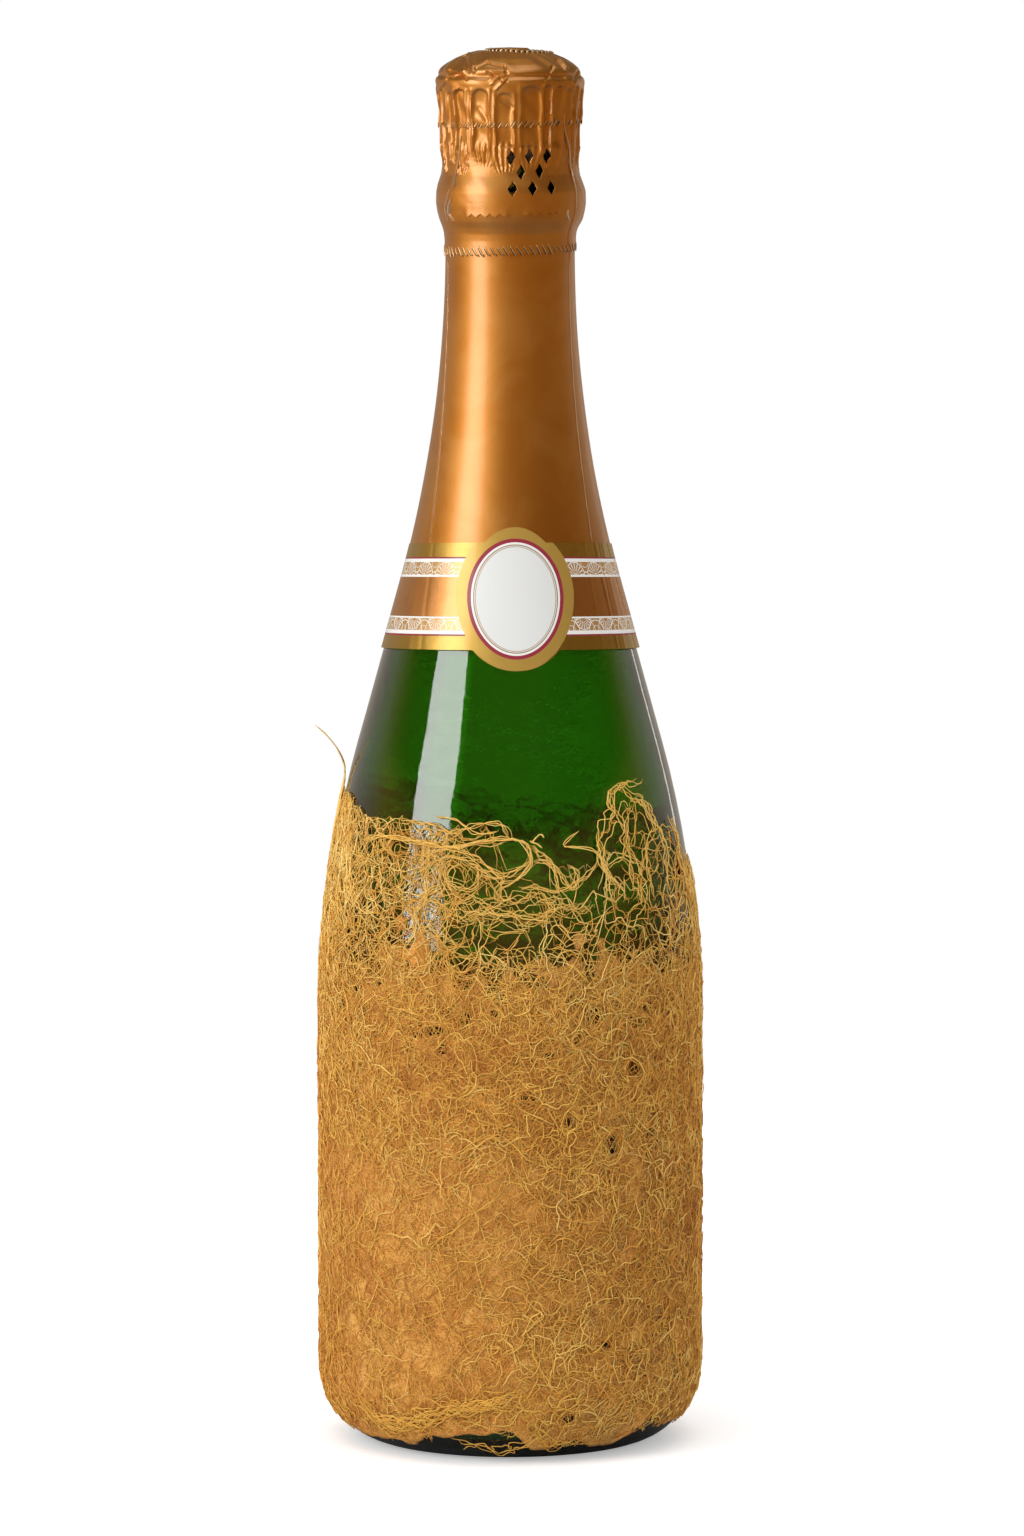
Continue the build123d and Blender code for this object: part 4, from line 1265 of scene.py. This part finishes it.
fibre_strand, tree, shader = new_material("fibre_strand")
tint = Field(tree, add_node(tree, "ShaderNodeAttribute", attribute_name="tint").outputs["Fac"])
fine, blotch = grain(tree, 2200.0, 30.0)
golden = split(tree, object_place(tree))[2].rise(0.09, 0.135)
strand_ramp = add_node(tree, "ShaderNodeValToRGB", {0: tint * 0.62 + blotch * 0.34 + golden * 0.16})
stops = strand_ramp.color_ramp.elements
for number, (position, paint) in enumerate(strand_stops):
    stop = stops.new(position) if number else stops[0]
    stop.position = position
    stop.color = (*paint, 1)
stops.remove(stops[-1])
look(tree, shader, base_color=strand_ramp.outputs[0], roughness=0.5)


def float_curve(tree, value, points, top):
    """A field read off a curve of points. It runs from 0 to 1 in, and from 0 to top out."""
    node = add_node(tree, "ShaderNodeFloatCurve", {"Value": value})
    curve = node.mapping.curves[0]
    for number, (position, level) in enumerate(points):
        if number < 2:
            curve.points[number].location = (position, level / top)
        else:
            curve.points.new(position, level / top)
    for point in curve.points:
        point.handle_type = "VECTOR"
    node.mapping.update()
    return Field(tree, node.outputs[0]) * top


radius_heights = np.concatenate((np.linspace(0, 18, 13), (60, 103), np.linspace(109, 200, 15)))
radius_points = [(z / 200.0, float(glass_radius(z))) for z in radius_heights]
top_points = [((azimuth + 180) / 360.0, level) for azimuth, level in fibre_top]


def lay_on_glass(tree, curves, azimuth, height, stand_off):
    """Moves a curve's points on to the glass, at azimuth in radians and height in mm."""
    radius = float_curve(tree, height / 200.0, radius_points, 50.0) + stand_off
    across = azimuth.math("SINE") * radius * millimetre
    depth = azimuth.math("COSINE") * radius * -millimetre
    place = joined(tree, across, depth, height * millimetre)
    return geometry(tree, "SetPosition", {"Geometry": curves, "Position": place})


def pushed_out_of_gaps(azimuth, height):
    """Azimuth and height moved sideways out of the mat's gaps, as fibres pass round them."""
    for gap_azimuth, gap_height, gap_width, gap_rise in fibre_gaps:
        side = (azimuth - math.radians(gap_azimuth)) * barrel_radius
        rise = height - gap_height
        away = (side / gap_width) * (side / gap_width) + (rise / gap_rise) * (rise / gap_rise)
        push = (away * -1.1).math("EXPONENT") * 1.5 + 1.0
        azimuth = side * push / barrel_radius + math.radians(gap_azimuth)
        height = rise * push + gap_height
    return azimuth, height


def parted_by_cells(tree, azimuth, height):
    """Azimuth and height moved away from the middles of random cells, which opens the net."""
    inputs = {"Scale": 1 / net_cell, "Randomness": 0.95}
    inputs["Vector"] = joined(tree, azimuth * barrel_radius, height, 0.0)
    cell = add_node(tree, "ShaderNodeTexVoronoi", inputs, voronoi_dimensions="2D").outputs
    middle = split(tree, cell["Position"])
    luck = split(tree, cell["Color"])[0]
    side = azimuth * barrel_radius - middle[0]
    rise = height - middle[1]
    away = (side * side + rise * rise).math("MAXIMUM", 0.02)
    openness = height.rise(*net_zone) * (1 - net_least) + net_least
    hole = (luck * (net_hole - net_least) + net_least) * openness
    push = (hole * hole * (away / (hole * hole * -3.0)).math("EXPONENT") / away + 1.0).math("SQRT")
    return (side * push + middle[0]) / barrel_radius, rise * push + middle[1]


def strand_mesh(tree, curves, thickness, taper_power):
    """Three-sided strands along curves, thin at both ends."""
    along = Field(tree, geometry(tree, "SplineParameter", {}))
    middle = (along * 2.0 - 1.0).math("ABSOLUTE").math("POWER", taper_power)
    inputs = {"Curve": curves, "Scale": (1.0 - middle * 0.75) * thickness, "Fill Caps": True}
    inputs["Profile Curve"] = geometry(tree, "CurvePrimitiveCircle", {"Resolution": 3, "Radius": 1.0})
    solid = geometry(tree, "CurveToMesh", inputs)
    smooth = geometry(tree, "SetShadeSmooth", {0: geometry(tree, "RealizeInstances", {0: solid})})
    painted = geometry(tree, "SetMaterial", {0: smooth, "Material": fibre_strand})
    add_node(tree, "NodeGroupOutput", {0: painted})


def stored(tree, points, name, value):
    """Points that each keep a number under a name."""
    inputs = {"Geometry": points, "Name": name, "Value": value}
    return geometry(tree, "StoreNamedAttribute", inputs, data_type="FLOAT", domain="POINT")


# Loose fibres: each starts at a random place and heading, and curls as it goes
full_turn = 6.2832
fibre_inputs = (
    "Count", "Seed", "Bends", "Low", "High", "Length", "Curl", "Tightness", "Thickness", "Lift", "Left",
    "Right",
)
curly_tree, value = new_geometry_tree("curly_fibres", fibre_inputs)
tree = curly_tree
points = geometry(tree, "Points", {"Count": value["Count"]})
number = geometry(tree, "InputIndex", {})
chance = {}
for salt, label in enumerate(("turn", "rise", "heading", "bend", "first", "second", "third", "tint")):
    pick = random_number(tree, {"ID": number, "Seed": value["Seed"] * 20.0 + float(salt)})
    points = stored(tree, points, label, pick)
    kept_number = add_node(tree, "GeometryNodeInputNamedAttribute", {"Name": label})
    chance[label] = Field(tree, kept_number.outputs["Attribute"])
line = geometry(tree, "CurvePrimitiveLine", {"End": (0.001, 0, 0)})
line = geometry(tree, "ResampleCurve", {"Curve": line, "Count": value["Bends"]})
copies = geometry(tree, "InstanceOnPoints", {"Points": points, "Instance": line})
curves = geometry(tree, "RealizeInstances", {0: copies})
along = Field(tree, geometry(tree, "SplineParameter", {}))
length = value["Length"] * (chance["third"] * 0.9 + 0.55)
run = (along - 0.5) * length
heading = chance["heading"] * full_turn + (chance["bend"] - 0.5) * (along - 0.5) * 3.0
curl = value["Curl"] * (chance["third"] + 0.3)
wave = along * (length * value["Tightness"])


def curled(first, second, third, pace, wise):
    """How far a fibre curls to one side: a wide wave and a smaller, quicker one."""
    wide = (wave * (chance[first] * 0.8 + 0.6) + chance[second] * full_turn).math(wise)
    return curl * wide, curl * 0.5 * (wave * pace + chance[third] * full_turn).math(wise)


wide, quick = curled("first", "second", "first", 2.3, "SINE")
side = run * heading.math("COSINE") + wide + quick
wide, quick = curled("bend", "first", "turn", 2.7, "COSINE")
climb = run * heading.math("SINE") + wide + quick
start = value["Left"] + chance["turn"] * (value["Right"] - value["Left"])
azimuth = start * (math.pi / 180) + side / barrel_radius
height = value["Low"] + chance["rise"] * (value["High"] - value["Low"]) + climb
azimuth, height = pushed_out_of_gaps(*parted_by_cells(tree, azimuth, height))
# A fibre that would pass the lace's upper edge or the wrap's foot turns back there
round_share = (azimuth / (2 * math.pi) + 0.5).math("FRACT")
edge = float_curve(tree, round_share, top_points, 200.0) - chance["second"] * chance["first"] * 14.0
height = edge - (edge - height).math("ABSOLUTE")
foot = chance["second"] * 4.0 + 2.2
for middle, width, bare in ((-0.19, 0.29, 4.8), (1.08, 0.38, 3.0)):
    off = (azimuth - middle) / width
    foot = foot + (off * off * -1.0).math("EXPONENT") * bare
height = foot + (height - foot).math("ABSOLUTE")
bob = (wave * 1.7 + chance["turn"] * full_turn).math("SINE") * 0.16
stand_off = value["Lift"] + chance["second"] * 0.45 + bob
curves = lay_on_glass(tree, curves, azimuth, height, stand_off)
thickness = value["Thickness"] * (chance["tint"] * 0.5 + 0.75) * (millimetre / 2)
strand_mesh(tree, curves, thickness, 6.0)

fibre_layers = (
    # name, count, seed, bends, low, high, length, curl, tightness, thickness, lift, left, right
    ("fibres_felted_a", 2500, 1, 10, 4.0, 110.0, 9.0, 0.9, 0.9, 0.20, 0.62, -180.0, 180.0),
    ("fibres_felted_b", 2500, 2, 10, 4.0, 112.0, 9.0, 0.9, 0.9, 0.20, 0.66, -180.0, 180.0),
    ("fibres_felted_c", 2500, 3, 10, 4.0, 116.0, 9.0, 1.0, 0.8, 0.19, 0.70, -180.0, 180.0),
    ("fibres_felted_d", 2500, 4, 10, 70.0, 119.0, 9.0, 1.1, 0.8, 0.20, 0.66, -180.0, 180.0),
    ("fibres_curled_a", 1100, 5, 21, 8.0, 120.0, 20.0, 1.9, 0.55, 0.24, 0.78, -180.0, 180.0),
    ("fibres_curled_b", 1000, 6, 21, 76.0, 120.0, 20.0, 2.1, 0.55, 0.24, 0.66, -180.0, 180.0),
    ("fibres_lace_back", 520, 7, 27, 114.0, 156.0, 24.0, 2.6, 0.5, 0.26, 0.50, 80.0, 300.0),
    ("fibres_curled_right", 620, 11, 21, 8.0, 112.0, 15.0, 1.7, 0.75, 0.26, 0.95, 2.0, 86.0),
    ("fibres_lace_left", 310, 8, 27, 116.0, 151.0, 20.0, 2.4, 0.5, 0.22, 0.50, -95.0, -17.0),
    ("fibres_lace_front", 26, 9, 27, 116.0, 144.0, 20.0, 2.6, 0.5, 0.25, 0.50, -20.0, 40.0),
    ("fibres_lace_right", 80, 10, 27, 114.0, 150.0, 22.0, 1.4, 0.5, 0.26, 0.50, 34.0, 84.0),
)
fibre_pieces = []
for name, *numbers in fibre_layers:
    fibre_pieces.append(run_tree(name, curly_tree, dict(zip(fibre_inputs, numbers))))

# Bundles: thicker strands of several fibres, which follow the lines that the photograph shows
wisp_root = 155.0
bundle_lines = (
    # fibres in the bundle, then azimuth and height along it
    (5, ((-80, 146), (-84, 152), (-86.5, 157), (-88.5, 161.5), (-89, 165), (-90, 168))),
    (5, ((-84, 144), (-86, 150), (-88.5, 156), (-89.5, 160), (-90, 163.5))),
    (5, ((-88, 143), (-90, 149), (-89, 154), (-88, 158.5))),
    (6, ((-57, 142.9), (-45, 145.4), (-32, 144.6), (-22, 143.8), (-15.5, 144.3), (-9, 145.3),
        (-2.3, 145.9), (3.5, 145.3), (6.2, 143.3), (6.2, 140.4), (3.7, 137.8), (1, 136.1), (-3.4, 135),
        (-4.1, 133), (-3.3, 131.5))),
    (4, ((-37, 149.6), (-29.6, 149), (-23, 148.1), (-19, 146.5), (-15.8, 147.4), (-11.6, 148.7),
        (-7.4, 149.5), (-3.6, 149.5), (-1.1, 147.9), (0.2, 145.9))),
    (2, ((-25, 150.2), (-18.7, 150.1), (-15, 148.9), (-11.5, 147.2), (-7.3, 147), (-4, 147.9))),
    (4, ((-25.8, 142.3), (-20.6, 143.3), (-15.5, 143.1), (-10.4, 141.5), (-7.1, 139.8), (-3.8, 138.1),
        (-2.2, 136.4), (-3.8, 135.3))),
    (4, ((-22.1, 140.7), (-18.7, 141.6), (-13.7, 141.2), (-9.5, 139.2), (-9.8, 136.9), (-11.7, 134.9),
        (-14.9, 134.5), (-18.3, 135.6), (-20.9, 137.2), (-22, 139.5))),
    (4, ((-11.9, 139.8), (-7, 138.1), (-2.2, 137.6), (2.6, 138.4), (5.8, 141))),
    (4, ((6.7, 144.4), (9.1, 142.7), (12.3, 141.2), (13.8, 138), (14.9, 135.1), (16, 133.4))),
    (4, ((7.4, 141), (11.5, 140.3), (15.1, 138), (17.8, 135.6), (20.2, 134.4), (21.3, 137.2),
        (20.6, 139), (18.1, 139.5))),
    (2, ((6.7, 145), (8, 146.1), (9.7, 147.1), (10.8, 146.4))),
    (2, ((5.9, 145.3), (8.4, 144.7), (10.2, 143.8))),
    (2, ((22.7, 147.2), (19, 145.6), (17.4, 144.2), (21, 143.9), (26.4, 143.4), (29.8, 141.8),
        (30.4, 139.2), (32, 136.8), (34.5, 134.4))),
    (4, ((3.3, 134.7), (8.8, 134.6), (13.6, 134), (18.6, 135), (23.8, 136.6), (26.6, 138.2),
        (28.7, 140.4))),
    (7, ((-11.5, 128.6), (-6.8, 130.1), (-2.2, 131.8), (3.3, 132.4), (8.8, 132.6), (13.5, 131.7),
        (16.7, 129.9), (21.6, 129.2), (26.7, 129.5))),
    (7, ((-21.2, 129.2), (-14.7, 128.2), (-6.8, 128.6), (-0.6, 127.8), (4.8, 126.6), (10.2, 127.1),
        (15, 128.8))),
    (3, ((-18.2, 133.9), (-11.6, 132.3), (-5.3, 129.5), (0.9, 128.4), (7.1, 127.8), (13.4, 129.4),
        (20.1, 131.5))),
    (3, ((37.8, 129.6), (36.3, 133.1), (32.9, 136.8), (30.7, 140.9), (30.4, 145.5), (33.1, 149.5),
        (36.8, 152.2), (38.1, 155), (42.8, 157.1), (51.2, 158.3))),
    (3, ((42.1, 130.5), (42, 136.3), (39.9, 142.2), (40.1, 148), (36.4, 150.5), (36.1, 153.9),
        (39.1, 156.7), (43.6, 155.9))),
    (3, ((50.3, 131.1), (49.1, 137), (49, 141.7), (54.5, 146), (53.3, 150.1), (50.3, 153.2),
        (44.8, 155.8), (40.4, 157.2))),
    (3, ((60.3, 131.5), (59, 137.5), (58.1, 143.4), (54, 148.3), (50.1, 152.7), (45.8, 155.2))),
    (3, ((70.6, 132.4), (68.7, 137.9), (69.7, 143.1), (66.5, 148.7))),
    (3, ((32.4, 132.2), (31.4, 135.7), (32.3, 139.1), (30, 142.7), (29.5, 146.1))),
    (3, ((46.3, 129), (44.8, 133.8), (44.8, 139), (41.6, 145), (41.8, 150.2), (45.4, 154.1))),
    (4, ((-15.7, 72.2), (-11.1, 75.9), (-5.1, 77.7), (-2.1, 76.6))),
    (2, ((-10.7, 74.4), (-6.6, 77.1), (-3.2, 78), (0.9, 75.4), (4.6, 72.5), (8.4, 71.3))),
    (4, ((-26.6, 50.6), (-20.5, 53.2), (-15, 56.4), (-11.1, 59.4), (-7.3, 61.2), (-2.1, 64.8))),
    (9, ((-47.3, 9.3), (-38.8, 9), (-28.7, 11.1), (-20.6, 14), (-12.7, 14.3), (-6.6, 15.7),
        (2.4, 16.9))),
    (9, ((-51.5, 13.2), (-45.7, 10.1), (-38.5, 7.7), (-27.2, 9.9), (-17.5, 12.9), (-8.2, 13.9),
        (3.2, 15.7))),
    (3, ((-17.7, 4.6), (-11.1, 3.4), (-3.3, 2.8), (3.5, 4.3), (8.9, 7.6))),
    (4, ((5.4, 30.9), (7.6, 25.6), (10.7, 20.9), (14.5, 17.8), (18.4, 20))),
    (7, ((3.1, 16.9), (5.5, 12.1), (8.9, 7.6), (14.7, 4), (21.4, 5.1))),
)
bundle_sizes = (
    # fibres in each bundle, its spread, its fibres' thickness, its lift and how it flares off
    (2, 0.5, 0.30, 0.80, 0.0),
    (3, 2.2, 0.28, 0.70, 0.0),
    (4, 1.0, 0.26, 0.80, 0.0),
    (5, 0.35, 0.30, 0.55, 0.059),
    (6, 0.8, 0.30, 0.70, 0.0),
    (7, 2.6, 0.20, 0.60, 0.0),
    (9, 2.6, 0.29, 1.05, 0.0),
)
bundle_inputs = ("Seed", "Copies", "Spread", "Thickness", "Lift", "Flare")
bundle_tree, value = new_geometry_tree("fibre_bundles", bundle_inputs)
tree = bundle_tree
drawn = {"Curve": value["Geometry"]}
drawn = geometry(tree, "CurveSplineType", drawn, spline_type="CATMULL_ROM")
drawn = geometry(tree, "ResampleCurve", {"Curve": drawn, "Count": 44})
copies = {"Geometry": drawn, "Amount": value["Copies"]}
copies = add_node(tree, "GeometryNodeDuplicateElements", copies, domain="SPLINE").outputs
which = Field(tree, copies["Duplicate Index"])
spot = geometry(tree, "InputPosition", {})
shift = joined(tree, which * 0.37 + value["Seed"] * 0.11, which * 0.71, 0.0)
shifted = add_node(tree, "ShaderNodeVectorMath", {0: spot, 1: shift}, operation="ADD").outputs[0]
stray = add_node(tree, "ShaderNodeTexNoise", {"Vector": shifted, "Scale": 190.0, "Detail": 2.0})
stray = split(tree, stray.outputs["Color"])
across, depth, up = split(tree, spot)
spread = value["Spread"]
azimuth = across.math("ARCTAN2", depth * -1.0) + (stray[0] - 0.5) * spread * (4.5 / barrel_radius)
height = up * 1000.0 + (stray[1] - 0.5) * spread * 4.5
flare = (height - wisp_root).math("MAXIMUM", 0.0)
stand_off = value["Lift"] + stray[2] * 0.8 + flare * flare * value["Flare"]
curves = lay_on_glass(tree, copies[0], azimuth, height, stand_off)
curves = stored(tree, curves, "tint", stray[2] * 0.9 + 0.2)
strand_mesh(tree, curves, value["Thickness"] * (millimetre / 2), 8.0)
for copies, *numbers in bundle_sizes:
    name = f"fibre_bundles_{copies}"
    curve = bpy.data.curves.new(f"{name}_lines", "CURVE")
    curve.dimensions = "3D"
    for line in [line for size, line in bundle_lines if size == copies]:
        spline = curve.splines.new("POLY")
        spline.points.add(len(line) - 1)
        for point, (azimuth, height) in zip(spline.points, line):
            point.co = (*around_axis(azimuth, float(glass_radius(height)) + 0.8, height), 1)
    values = dict(zip(bundle_inputs, (copies, copies, *numbers)))
    fibre_pieces.append(run_tree(name, bundle_tree, values, curve))
for piece in fibre_pieces:
    finish_piece(piece, None, "bottle", "golden_fibre")
